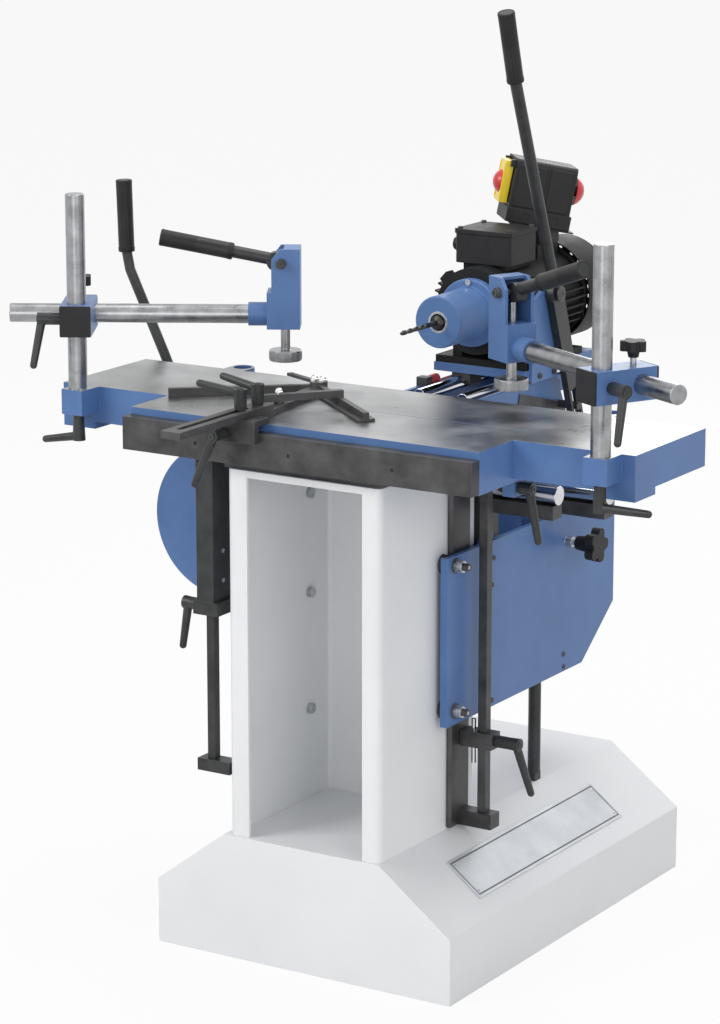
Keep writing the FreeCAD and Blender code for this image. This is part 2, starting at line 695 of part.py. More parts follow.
def make_name_plate():
    run = BASE_TOP_HALF - BASE_HALF_X
    rise = BASE_TOP - BASE_SKIRT
    slope = V(run, 0, rise).normalize()
    outward = V(-slope.z, 0, slope.x) * -1
    foot = V(BASE_HALF_X, 0, BASE_SKIRT)
    corners = [
        foot + slope * NAME_PLATE_LOW,
        foot + slope * NAME_PLATE_HIGH,
        foot + slope * NAME_PLATE_HIGH + outward * NAME_PLATE_SHEET,
        foot + slope * NAME_PLATE_LOW + outward * NAME_PLATE_SHEET,
    ]
    points = [(corner.x, corner.z) for corner in corners]
    return plate_along_y(points, NAME_PLATE_FRONT, NAME_PLATE_REAR)


def make_column():
    outer = box(COLUMN_LEFT, COLUMN_RIGHT, COLUMN_FRONT, COLUMN_BACK, BASE_TOP, COLUMN_TOP)
    outer = rounded(outer, COLUMN_BEND, V(0, 0, 1))
    inner_top = COLUMN_TOP - COLUMN_CAP
    inner = box(
        COLUMN_LEFT + COLUMN_SHEET, COLUMN_RIGHT - COLUMN_SHEET,
        COLUMN_FRONT + COLUMN_SHEET, COLUMN_BACK - COLUMN_SHEET,
        BASE_TOP - 1, inner_top,
    )
    inner = rounded(inner, COLUMN_BEND - COLUMN_SHEET, V(0, 0, 1))
    front_gap = box(
        COLUMN_LIP_LEFT, COLUMN_LIP_RIGHT,
        COLUMN_FRONT - 1, COLUMN_FRONT + COLUMN_SHEET + 1,
        BASE_TOP - 1, inner_top,
    )
    column = outer.cut(inner).cut(front_gap)
    for x, y in mount_bolt_places():
        column = column.cut(rod(V(x, y, inner_top - 1), V(x, y, COLUMN_TOP + 1), MOUNT_BOLT_RADIUS))
    for wall_x in (COLUMN_LEFT, COLUMN_RIGHT - COLUMN_SHEET):
        for z in rail_bolt_levels():
            start = V(wall_x - 1, rail_middle_y(), z)
            column = column.cut(rod(start, start + V(COLUMN_SHEET + 2, 0, 0), RAIL_BOLT_RADIUS))
    return column


def mount_bolt_places():
    return [(side * MOUNT_BOLT_X, y) for side in (-1, 1) for y in MOUNT_BOLT_YS]


def rail_bolt_levels():
    return [RAIL_BOTTOM + rise for rise in RAIL_BOLT_RISES]


def rail_middle_y():
    return (RAIL_FRONT + RAIL_BACK) / 2


def make_lift_rails():
    rails = []
    for x0 in (COLUMN_RIGHT, COLUMN_LEFT - RAIL_SHEET):
        outline = [
            (x0, RAIL_BACK), (x0 + RAIL_SHEET, RAIL_BACK),
            (x0 + RAIL_SHEET, RAIL_FRONT + RAIL_BEVEL), (x0 + RAIL_SHEET / 2, RAIL_FRONT),
            (x0, RAIL_FRONT + RAIL_BEVEL),
        ]
        rails.append(plate_along_z(outline, RAIL_BOTTOM, RAIL_TOP))
    half = STOP_BAR / 2
    foot = box(
        COLUMN_RIGHT + RAIL_SHEET, STOP_FOOT_RIGHT,
        STOP_BAR_Y - STOP_FOOT_HALF, STOP_BAR_Y + STOP_FOOT_HALF, RAIL_BOTTOM, STOP_FOOT_TOP,
    )
    bar = box(STOP_BAR_X - half, STOP_BAR_X + half, STOP_BAR_Y - half, STOP_BAR_Y + half,
              STOP_FOOT_TOP, TABLE_BOTTOM)
    return rails + [foot, bar]


# Table

def pocket_grid(x0, x1, y0, y1, columns, rows, floor, roof):
    """Rib pockets cut from below, as separate boxes."""
    width = (x1 - x0 - (columns - 1) * TABLE_RIB) / columns
    depth = (y1 - y0 - (rows - 1) * TABLE_RIB) / rows
    pockets = []
    for column in range(columns):
        for row in range(rows):
            left = x0 + column * (width + TABLE_RIB)
            near = y0 + row * (depth + TABLE_RIB)
            pocket = box(left, left + width, near, near + depth, floor - 1, roof)
            pockets.append(rounded(pocket, POCKET_CORNER, V(0, 0, 1)))
    return pockets


def make_table_centre():
    block = box(-TABLE_HALF_X, TABLE_HALF_X, TABLE_FRONT, TABLE_REAR, TABLE_BOTTOM, TABLE_TOP)
    half = TABLE_HALF_X - TABLE_SKIRT
    pockets = pocket_grid(
        -half, half, TABLE_FRONT + TABLE_SKIRT, TABLE_REAR - TABLE_SKIRT,
        3, 2, TABLE_BOTTOM, TABLE_TOP - TABLE_PLATE,
    )
    table = block.cut(Part.makeCompound(pockets))
    bosses = []
    for x, y in mount_bolt_places():
        bosses.append(rod(V(x, y, TABLE_BOTTOM), V(x, y, TABLE_TOP - TABLE_PLATE + 1), MOUNT_BOLT_BOSS))
    lug = box(LOCK_LUG_RIGHT - LOCK_LUG_SHEET, LOCK_LUG_RIGHT, LOCK_Y - LOCK_LUG_HALF, LOCK_Y + LOCK_LUG_HALF,
              LOCK_LUG_BOTTOM, TABLE_TOP - TABLE_PLATE + 1)
    table = joined([table] + bosses + [lug])
    for x, y in mount_bolt_places():
        bolt_end = V(x, y, TABLE_BOTTOM + MOUNT_BOLT_DEPTH)
        table = table.cut(rod(V(x, y, TABLE_BOTTOM - 1), bolt_end, MOUNT_BOLT_RADIUS))
    seam_half = TABLE_SEAM / 2
    seam = box(-TABLE_HALF_X - 1, TABLE_HALF_X + 1, TABLE_SEAM_Y - seam_half, TABLE_SEAM_Y + seam_half,
               TABLE_TOP - 1, TABLE_TOP + 1)
    table = table.cut(seam)
    for x in FENCE_SCREW_XS:
        screw_end = V(x, TABLE_FRONT + FENCE_SCREW_DEPTH, FENCE_SCREW_Z)
        table = table.cut(rod(V(x, TABLE_FRONT - 1, FENCE_SCREW_Z), screw_end, FENCE_SCREW_RADIUS))
    return table.cut(stud_hole(table_lock_seat(), V(1, 0, 0)))


def table_lock_seat():
    return V(LOCK_LUG_RIGHT, LOCK_Y, LOCK_Z)


def make_wing(side, post_x):
    """Side casting of the table; side is +1 on the right and -1 on the left."""
    def across(a, b):
        return (a, b) if side > 0 else (-b, -a)

    x0, x1 = across(TABLE_HALF_X, WING_END)
    plate = box(x0, x1, WING_FRONT, WING_REAR, WING_BOTTOM, TABLE_TOP)
    inner_x0, inner_x1 = across(TABLE_HALF_X + TABLE_SKIRT, WING_END - TABLE_SKIRT)
    pockets = pocket_grid(
        inner_x0, inner_x1, WING_FRONT + TABLE_SKIRT, WING_REAR - TABLE_SKIRT,
        1, 2, WING_BOTTOM, TABLE_TOP - TABLE_PLATE,
    )
    plate = plate.cut(Part.makeCompound(pockets))
    lip_x0, lip_x1 = across(LIP_START, WING_END)
    lip = box(lip_x0, lip_x1, WING_FRONT, LIP_REAR, LIP_BOTTOM, WING_BOTTOM + 1)
    lip = lip.cut(box(lip_x0 + LIP_SKIRT, lip_x1 - LIP_SKIRT, WING_FRONT + LIP_SKIRT, LIP_REAR - LIP_SKIRT,
                      LIP_BOTTOM - 1, WING_BOTTOM + 2))
    half = BOSS_WIDTH / 2
    boss = box(post_x - half, post_x + half, BOSS_FRONT, WING_FRONT + 1, BOSS_BOTTOM, TABLE_TOP)
    rear_x = side * REAR_BORE_X
    rear_boss = rod(V(rear_x, REAR_BORE_Y, BOSS_BOTTOM), V(rear_x, REAR_BORE_Y, TABLE_TOP), half)
    rear_web = box(rear_x - half, rear_x + half, WING_REAR - 1, REAR_BORE_Y, BOSS_BOTTOM, TABLE_TOP)
    wing = joined([plate, lip, boss, rear_boss, rear_web])
    for x, y in ((post_x, POST_Y), (rear_x, REAR_BORE_Y)):
        step = BOSS_BOTTOM + BOSS_STEP
        wing = wing.cut(rod(V(x, y, step), V(x, y, TABLE_TOP + 1), POST_RADIUS + POST_FIT))
        wing = wing.cut(rod(V(x, y, BOSS_BOTTOM - 1), V(x, y, step + 1), STUD_RADIUS + STUD_FIT))
    return wing


def make_clamp_posts():
    posts = []
    for x in (POST_LEFT_X, POST_RIGHT_X):
        bottom = BOSS_BOTTOM + BOSS_STEP
        post = rod(V(x, POST_Y, bottom), V(x, POST_Y, POST_TOP), POST_RADIUS)
        stud_end = V(x, POST_Y, bottom + POST_STUD_DEPTH)
        post = post.cut(rod(V(x, POST_Y, bottom - 1), stud_end, STUD_RADIUS + STUD_FIT))
        posts.append(post)
    return posts


def make_fence_rail():
    rail = box(-FENCE_HALF_X, FENCE_HALF_X, FENCE_FRONT, TABLE_FRONT, FENCE_BOTTOM, FENCE_TOP)
    for x in FENCE_SCREW_XS:
        front = V(x, FENCE_FRONT - 1, FENCE_SCREW_Z)
        seat = V(x, FENCE_FRONT + FENCE_SCREW_HEAD_HEIGHT, FENCE_SCREW_Z)
        rail = rail.cut(rod(front, V(x, TABLE_FRONT + 1, FENCE_SCREW_Z), FENCE_SCREW_RADIUS))
        rail = rail.cut(rod(front, seat, FENCE_SCREW_HEAD))
    return rail


def make_mount_plate():
    plate = box(-MOUNT_PLATE_HALF_X, MOUNT_PLATE_HALF_X, MOUNT_PLATE_FRONT, MOUNT_PLATE_REAR,
                COLUMN_TOP, TABLE_BOTTOM)
    for x, y in mount_bolt_places():
        plate = plate.cut(rod(V(x, y, COLUMN_TOP - 1), V(x, y, TABLE_BOTTOM + 1), MOUNT_BOLT_RADIUS))
    return plate


def make_table_prop():
    tube = box(PROP_LEFT, PROP_RIGHT, PROP_FRONT, PROP_REAR, PROP_BOTTOM, TABLE_BOTTOM)
    bore = box(
        PROP_LEFT + PROP_SHEET, PROP_RIGHT - PROP_SHEET,
        PROP_FRONT + PROP_SHEET, PROP_REAR - PROP_SHEET, PROP_BOTTOM - 1, TABLE_BOTTOM - PROP_SHEET,
    )
    tube = tube.cut(bore)
    half = PROP_BAR / 2
    bar = box(PROP_BAR_X - half, PROP_BAR_X + half, PROP_BAR_Y - half, PROP_BAR_Y + half,
              PROP_FOOT_TOP, PROP_BAR_TOP)
    foot = box(PROP_FOOT_LEFT, COLUMN_LEFT, PROP_BAR_Y - PROP_FOOT_HALF, PROP_BAR_Y + PROP_FOOT_HALF,
               PROP_FOOT_BOTTOM, PROP_FOOT_TOP)
    block = box(PROP_BLOCK_LEFT, PROP_BLOCK_RIGHT, PROP_FRONT, PROP_BLOCK_REAR,
                PROP_BLOCK_BOTTOM, PROP_BOTTOM)
    block = block.cut(box(PROP_BAR_X - half, PROP_BAR_X + half, PROP_BAR_Y - half, PROP_BAR_Y + half,
                          PROP_BLOCK_BOTTOM - 1, PROP_BOTTOM + 1))
    block = block.cut(stud_hole(prop_lever_seat(), V(-1, 0, 0)))
    return [tube, bar, foot, block]


def prop_lever_seat():
    return V(PROP_BLOCK_LEFT, PROP_BAR_Y, (PROP_BLOCK_BOTTOM + PROP_BOTTOM) / 2)


def make_frame_screws():
    """Socket screws of the fence, bolts of the table plate and bolts of the lift rails."""
    screws = []
    for x in FENCE_SCREW_XS:
        seat = V(x, FENCE_FRONT + FENCE_SCREW_HEAD_HEIGHT, FENCE_SCREW_Z)
        end = V(x, TABLE_FRONT + FENCE_SCREW_DEPTH, FENCE_SCREW_Z)
        head = rod(V(x, FENCE_FRONT, FENCE_SCREW_Z), seat, FENCE_SCREW_HEAD)
        shank = rod(seat - V(0, 1, 0), end, FENCE_SCREW_RADIUS)
        socket = rod(V(x, FENCE_FRONT - 1, FENCE_SCREW_Z), seat - V(0, 3, 0), FENCE_SCREW_SOCKET)
        screws.append(joined([head, shank]).cut(socket))
    under = COLUMN_TOP - COLUMN_CAP
    for x, y in mount_bolt_places():
        head = rod(V(x, y, under - BOLT_HEAD_HEIGHT), V(x, y, under), MOUNT_BOLT_HEAD)
        shank = rod(V(x, y, under - 1), V(x, y, TABLE_BOTTOM + MOUNT_BOLT_DEPTH), MOUNT_BOLT_RADIUS)
        screws.append(joined([head, shank]))
    for inner_x, outward in ((COLUMN_LEFT + COLUMN_SHEET, 1), (COLUMN_RIGHT - COLUMN_SHEET, -1)):
        for z in rail_bolt_levels():
            seat = V(inner_x, rail_middle_y(), z)
            head = rod(seat, seat + V(outward * BOLT_HEAD_HEIGHT, 0, 0), RAIL_BOLT_HEAD)
            shank = rod(seat + V(outward, 0, 0), seat - V(outward * COLUMN_SHEET, 0, 0), RAIL_BOLT_RADIUS)
            screws.append(joined([head, shank]))
    return screws


def make_strut_tube():
    half = STRUT_FOOT_HALF
    foot_top = BASE_TOP + STRUT_FOOT_HEIGHT
    foot = box(STRUT_X - half, BASE_TOP_HALF, STRUT_Y - half, STRUT_Y + half, BASE_TOP, foot_top)
    seal = V(STRUT_X, STRUT_Y, STRUT_TOP - STRUT_SEAL)
    whole = joined([foot, strut_piece(foot_top - 1, STRUT_TOP, STRUT_RADIUS)])
    whole = whole.cut(strut_piece(foot_top + 5, seal.z, STRUT_BORE))
    return whole.cut(strut_piece(seal.z - 2, STRUT_TOP + 1, STRUT_ROD + STRUT_ROD_FIT))


def strut_piece(bottom, top, radius):
    return rod(V(STRUT_X, STRUT_Y, bottom), V(STRUT_X, STRUT_Y, top), radius)


# Height stop

def stop_lever_seat():
    return V(STOP_FOOT_RIGHT, STOP_BAR_Y, (STOP_BLOCK_BOTTOM + STOP_BLOCK_TOP) / 2)


def make_height_stop_block():
    block = box(
        STOP_BLOCK_LEFT, STOP_FOOT_RIGHT, STOP_BAR_Y - STOP_BLOCK_HALF, STOP_BAR_Y + STOP_BLOCK_HALF,
        STOP_BLOCK_BOTTOM, STOP_BLOCK_TOP,
    )
    half = STOP_BAR / 2 + STOP_SLOT_CLEARANCE
    block = block.cut(box(STOP_BAR_X - half, STOP_BAR_X + half, STOP_BAR_Y - half, STOP_BAR_Y + half,
                          STOP_BLOCK_BOTTOM - 1, STOP_BLOCK_TOP + 1))
    block = block.cut(stud_hole(stop_lever_seat(), V(1, 0, 0)))
    pin_bottom = V(STOP_PIN_X, STOP_BAR_Y, STOP_PIN_BOTTOM)
    pin_top = V(STOP_PIN_X, STOP_BAR_Y, STOP_PIN_TOP)
    block = block.cut(rod(pin_bottom, pin_top, STOP_PIN_RADIUS))
    pin = rod(pin_bottom, pin_top, STOP_PIN_RADIUS)
    return [block, pin]


# Carriage

def carriage_outline():
    return [
        (CARRIAGE_FRONT, CARRIAGE_BOTTOM), (CARRIAGE_FRONT, CARRIAGE_TOP),
        (CARRIAGE_STEP_Y, CARRIAGE_TOP), (CARRIAGE_STEP_Y, CARRIAGE_STEP_TOP),
        (CARRIAGE_REAR, CARRIAGE_STEP_TOP), (CARRIAGE_REAR, CARRIAGE_CHAMFER_Z),
        (CARRIAGE_CHAMFER_Y, CARRIAGE_BOTTOM),
    ]


def guide_places():
    return ((GUIDE_FRONT_Y, GUIDE_FRONT_Z), (GUIDE_REAR_Y, GUIDE_REAR_Z))


def carriage_knob_seat():
    return V(CARRIAGE_RIGHT + KNOB_BOSS_LENGTH, KNOB_Y, KNOB_Z)


def make_carriage_frame():
    """Side plates, what stands between them and what is bolted on, each a solid of its own."""
    right_inner = CARRIAGE_RIGHT - CARRIAGE_SHEET
    left_inner = CARRIAGE_LEFT + CARRIAGE_SHEET
    rear = box(left_inner, right_inner, CARRIAGE_REAR - CARRIAGE_SHEET, CARRIAGE_REAR,
               CARRIAGE_CHAMFER_Z, CARRIAGE_STEP_TOP)
    low, high = CROSS_PLATE_DROPS
    cross = box(left_inner, right_inner, GUIDE_FRONT_Y, GUIDE_FRONT_Y + CROSS_PLATE_DEPTH,
                CARRIAGE_TOP - low, CARRIAGE_TOP - high)
    pieces = make_carriage_plates(right_inner, left_inner) + [rear, cross]
    for y, z in guide_places():
        pieces.extend(make_guide_beam(y, z, right_inner, left_inner))
    pieces.extend(make_rail_pads(right_inner, left_inner))
    lug = box(STRUT_X - 14, right_inner, STRUT_Y - 12, STRUT_Y + 12,
              STRUT_ROD_TOP - 14, STRUT_ROD_TOP + 6)
    pieces.append(lug.cut(strut_piece(STRUT_ROD_TOP - 15, STRUT_ROD_TOP, STRUT_ROD)))
    bracket_front = CROSS_BRACKET_FRONT
    pieces.append(box(CROSS_X - 28, CARRIAGE_LEFT, bracket_front, bracket_front + CROSS_BRACKET_SHEET,
                      CROSS_Z - 35, CROSS_Z + 29))
    pieces.append(cross_rod(DISC_FRONT + DISC_SHEET, bracket_front, CROSS_AXLE))
    for z in ROLLER_LEVELS:
        for side in (-1, 1):
            pieces.append(roller_bolt(side, z))
    return pieces


def make_carriage_plates(right_inner, left_inner):
    """Right plate with the boss of its knob, and left plate; each has a narrow flange in front."""
    right = plate_along_x(carriage_outline(), right_inner, CARRIAGE_RIGHT)
    left = plate_along_x(carriage_outline(), CARRIAGE_LEFT, left_inner)
    flange_front = CARRIAGE_FRONT - CARRIAGE_FLANGE
    right_flange = box(COLUMN_RIGHT + CARRIAGE_FLANGE_GAP, CARRIAGE_RIGHT, flange_front, CARRIAGE_FRONT + 1,
                       CARRIAGE_BOTTOM, CARRIAGE_TOP)
    left_flange = box(CARRIAGE_LEFT, COLUMN_LEFT - CARRIAGE_FLANGE_GAP, flange_front, CARRIAGE_FRONT + 1,
                      CARRIAGE_BOTTOM, CARRIAGE_TOP)
    boss = rod(V(CARRIAGE_RIGHT - 1, KNOB_Y, KNOB_Z), carriage_knob_seat(), KNOB_BOSS_RADIUS)
    right = joined([right, right_flange, boss]).cut(stud_hole(carriage_knob_seat(), V(1, 0, 0)))
    left = joined([left, left_flange])
    for z in ROLLER_LEVELS:
        right = right.cut(roller_bolt(1, z))
        left = left.cut(roller_bolt(-1, z))
    return [right, left]


def make_guide_beam(y, z, right_inner, left_inner):
    """Beam under one guide bar on its two riser blocks."""
    beam_top = z - GUIDE_RADIUS
    beam_bottom = beam_top - BEAM_HEIGHT
    riser_bottom = CARRIAGE_TOP - RISER_ROOT
    front = y - BEAM_HALF
    rear = y + BEAM_HALF
    return [
        box(GUIDE_LEFT + BEAM_END_GAP, GUIDE_RIGHT - BEAM_END_GAP, front, rear, beam_bottom, beam_top),
        box(right_inner - RISER_LENGTH, right_inner, front, rear, riser_bottom, beam_bottom),
        box(left_inner, left_inner + RISER_LENGTH, front, rear, riser_bottom, beam_bottom),
    ]


def make_rail_pads(right_inner, left_inner):
    """Pads that run behind the lift rails on both sides, two to a side."""
    front = RAIL_BACK + RAIL_PAD_GAP
    pads = []
    for rise in PAD_RISES:
        low = CARRIAGE_BOTTOM + rise
        high = low + RAIL_PAD_HEIGHT
        pads.append(box(COLUMN_RIGHT + 2, right_inner, front, front + RAIL_PAD, low, high))
        pads.append(box(left_inner, COLUMN_LEFT - 2, front, front + RAIL_PAD, low, high))
    return pads


def roller_bolt(side, z):
    """Shoulder bolt that carries one roller; its nut stands outside the plate."""
    centre = (COLUMN_LEFT + COLUMN_RIGHT) / 2
    inner = (COLUMN_RIGHT - COLUMN_LEFT) / 2 + 0.8
    outer = CARRIAGE_RIGHT - centre
    seat = V(centre + side * outer, ROLLER_Y, z)
    shank_end = seat + V(side * ROLLER_BOLT_LENGTH, 0, 0)
    shank = rod(V(centre + side * inner, ROLLER_Y, z), shank_end, ROLLER_AXLE)
    nut = rod(seat, seat + V(side * ROLLER_NUT_LENGTH, 0, 0), ROLLER_NUT_RADIUS)
    return joined([shank, nut])


def make_rollers(z):
    """Pair of grooved rollers on one level, running on the front edges of the rails."""
    rollers = []
    centre = (COLUMN_LEFT + COLUMN_RIGHT) / 2
    middle = (COLUMN_RIGHT - COLUMN_LEFT) / 2 + RAIL_SHEET / 2
    for side in (-1, 1):
        x = centre + side * middle
        near = V(x - ROLLER_HALF_WIDTH, ROLLER_Y, z)
        far = V(x + ROLLER_HALF_WIDTH, ROLLER_Y, z)
        mid = V(x, ROLLER_Y, z)
        waist = ROLLER_RADIUS - ROLLER_GROOVE
        halves = [cone(near, mid, ROLLER_RADIUS, waist), cone(mid, far, waist, ROLLER_RADIUS)]
        bore = rod(near - V(1, 0, 0), far + V(1, 0, 0), ROLLER_AXLE + ROLLER_FIT)
        rollers.append(joined(halves).cut(bore))
    return rollers


def make_guide_bars():
    return [rod(V(GUIDE_LEFT, y, z), V(GUIDE_RIGHT, y, z), GUIDE_RADIUS) for y, z in guide_places()]


def make_strut_rod():
    return strut_piece(STRUT_ROD_BOTTOM, STRUT_ROD_TOP, STRUT_ROD)


def make_lever_disc():
    disc = cross_rod(DISC_FRONT, DISC_FRONT + DISC_SHEET, DISC_RADIUS)
    cap = cross_rod(DISC_FRONT - DISC_CAP_HEIGHT, DISC_FRONT, DISC_CAP_RADIUS)
    return [disc, cap]


# Long slide

def crank_pin_place():
    rise = math.sqrt(CRANK_RADIUS ** 2 - CRANK_OFFSET ** 2)
    return V(CROSS_X + CRANK_OFFSET, 0, CROSS_Z + rise)


def slide_outline():
    """Side plate: it rides over the front bearing and comes down to the rear one and the lever pin."""
    rear = LEVER_PIN_Y + 24
    return [
        (SLIDE_FRONT, SLIDE_FRONT_FOOT), (SLIDE_FRONT, SLIDE_TOP), (LEVER_PIN_Y - 10, SLIDE_TOP),
        (rear, LEVER_PIN_Z - 14), (rear, SLIDE_REAR_FOOT), (GUIDE_REAR_Y - BEARING_HALF, SLIDE_REAR_FOOT),
        (GUIDE_REAR_Y - 60, SLIDE_FRONT_FOOT),
    ]


def make_long_slide():
    """Side plates with their beams, the four bearing blocks, the lever's pin and the fork."""
    outline = slide_outline()
    right = plate_along_x(outline, SLIDE_RIGHT - SLIDE_PLATE, SLIDE_RIGHT)
    left = plate_along_x(outline, SLIDE_LEFT, SLIDE_LEFT + SLIDE_PLATE)
    slide = joined([right, left] + depth_rail_beams() + buffer_pieces())
    blocks = []
    for block, bar in bearing_blocks():
        slide = slide.cut(block).cut(bar)
        blocks.append(block.cut(bar))
    pin_root = V(SLIDE_RIGHT, LEVER_PIN_Y, LEVER_PIN_Z)
    pin_end = V(LEVER_CENTRE_X + LEVER_PIN_END, LEVER_PIN_Y, LEVER_PIN_Z)
    return [slide] + blocks + [rod(pin_root, pin_end, LEVER_PIN_RADIUS)] + fork_pieces()


def bearing_blocks():
    """Block under each end of each side plate, with the bar that it runs on."""
    spans = ((GUIDE_FRONT_Y, SLIDE_FRONT + BEARING_LAP), (GUIDE_REAR_Y, GUIDE_REAR_Y + BEARING_HALF))
    blocks = []
    for plate_x in (SLIDE_RIGHT - SLIDE_PLATE / 2, SLIDE_LEFT + SLIDE_PLATE / 2):
        x0 = plate_x - BEARING_LENGTH / 2
        x1 = plate_x + BEARING_LENGTH / 2
        for (y, rear), z in zip(spans, (GUIDE_FRONT_Z, GUIDE_REAR_Z)):
            block = box(x0, x1, y - BEARING_HALF, rear, z - BEARING_BELOW, z + BEARING_ABOVE)
            bar = rod(V(GUIDE_LEFT, y, z), V(GUIDE_RIGHT, y, z), GUIDE_RADIUS + BEARING_FIT)
            blocks.append((block, bar))
    return blocks


def depth_rail_beams():
    """Two ties across the slide and a beam under each depth rail."""
    high = DEPTH_RAIL_Z - DEPTH_RAIL_RADIUS
    low = high - RAIL_BEAM_HEIGHT
    beams = []
    for y in (DEPTH_RAIL_FRONT, DEPTH_RAIL_FRONT + RAIL_TIE_DEPTH + RAIL_TIE_GAP):
        beams.append(box(SLIDE_LEFT + 1, SLIDE_RIGHT - 1, y, y + RAIL_TIE_DEPTH, low, high))
    for x in DEPTH_RAIL_XS:
        beams.append(box(x - RAIL_BEAM_HALF, x + RAIL_BEAM_HALF, DEPTH_RAIL_FRONT, DEPTH_RAIL_REAR,
                         low, high))
    return beams


def buffer_pieces():
    """Block on the left plate with the rubber buffer that stops the depth slide."""
    block_rear = BUFFER_BLOCK_FRONT + BUFFER_BLOCK_DEPTH
    block_right = SLIDE_LEFT + BUFFER_BLOCK_WIDTH
    block = box(SLIDE_LEFT, block_right, BUFFER_BLOCK_FRONT, block_rear,
                SLIDE_TOP - 1, SLIDE_TOP + BUFFER_BLOCK_RISE)
    root = V(block_right - BUFFER_RADIUS, block_rear - 1, SLIDE_TOP + BUFFER_RADIUS)
    return [block, rod(root, root + V(0, BUFFER_LENGTH + 1, 0), BUFFER_RADIUS)]


def fork_pieces():
    """Bar to the left and the fork of the crank pin in four blocks, at a height in whole millimetres."""
    pin = crank_pin_place()
    level = round(pin.z)
    rear = FORK_FRONT + FORK_SHEET
    half = CRANK_PIN + FORK_CLEARANCE
    left, right = pin.x - FORK_HALF, pin.x + FORK_HALF
    low, high = level - FORK_GAP_BELOW, level + FORK_GAP_ABOVE
    return [
        box(right, SLIDE_LEFT, FORK_FRONT, rear, level - 16, level + 10),
        box(left, pin.x - half, FORK_FRONT, rear, low, high),
        box(pin.x + half, right, FORK_FRONT, rear, low, high),
        box(left, right, FORK_FRONT, rear, low - FORK_BRIDGE, low),
        box(left, right, FORK_FRONT, rear, high, high + FORK_BRIDGE),
    ]


def make_depth_rails():
    rails = []
    for x in DEPTH_RAIL_XS:
        start = V(x, DEPTH_RAIL_FRONT, DEPTH_RAIL_Z)
        rails.append(rod(start, V(x, DEPTH_RAIL_REAR, DEPTH_RAIL_Z), DEPTH_RAIL_RADIUS))
    return rails


# Depth slide with the motor

def make_depth_plate():
    plate = box(DEPTH_PLATE_LEFT, DEPTH_PLATE_RIGHT, DEPTH_PLATE_FRONT, DEPTH_PLATE_REAR,
                DEPTH_PLATE_BOTTOM, DEPTH_PLATE_TOP)
    pieces = [plate]
    for x in DEPTH_RAIL_XS:
        for setback in DEPTH_BEARING_SETS:
            y = DEPTH_PLATE_FRONT + setback
            pieces.append(box(x - DEPTH_BEARING_HALF, x + DEPTH_BEARING_HALF, y, y + BEARING_LENGTH,
                              DEPTH_RAIL_Z - DEPTH_BEARING_BELOW, DEPTH_PLATE_BOTTOM + 1))
    gusset = gusset_outline()
    gusset_x = DEPTH_PLATE_RIGHT + GUSSET_SHEET
    pieces.append(plate_along_x(gusset, DEPTH_PLATE_RIGHT, gusset_x))
    pivot = V(gusset_x - 1, LEVER_PIVOT_Y, LEVER_PIVOT_Z)
    pieces.append(rod(pivot, V(LEVER_CENTRE_X + LEVER_SHEET / 2 + 4, pivot.y, pivot.z), LEVER_PIVOT_RADIUS))
    slide = joined(pieces)
    for x in DEPTH_RAIL_XS:
        start = V(x, DEPTH_PLATE_FRONT, DEPTH_RAIL_Z)
        end = V(x, DEPTH_PLATE_REAR, DEPTH_RAIL_Z)
        slide = slide.cut(rod(start, end, DEPTH_RAIL_RADIUS + BEARING_FIT))
    return slide


def gusset_outline():
    """Upright of the depth lever: its foot laps the plate and its top goes round the pivot."""
    foot = DEPTH_PLATE_BOTTOM - 7
    return [
        (LEVER_PIVOT_Y - 60, foot), (LEVER_PIVOT_Y + 30, foot), (LEVER_PIVOT_Y + 12, LEVER_PIVOT_Z - 25),
        (LEVER_PIVOT_Y + 12, LEVER_PIVOT_Z + 7), (LEVER_PIVOT_Y - 16, LEVER_PIVOT_Z + 13),
        (LEVER_PIVOT_Y - 54, LEVER_PIVOT_Z - 5),
    ]


def spindle_rod(y0, y1, radius):
    return rod(V(SPINDLE_X, y0, SPINDLE_Z), V(SPINDLE_X, y1, SPINDLE_Z), radius)


def switch_foot_level():
    return SPINDLE_Z + MOTOR_RADIUS + SWITCH_BRACKET


def round_spindle(shape, angle):
    """Move a shape drawn on the x axis to an angle round the spindle."""
    shape.rotate(V(0, 0, 0), V(0, 1, 0), -angle)
    shape.translate(V(SPINDLE_X, 0, SPINDLE_Z))
    return shape


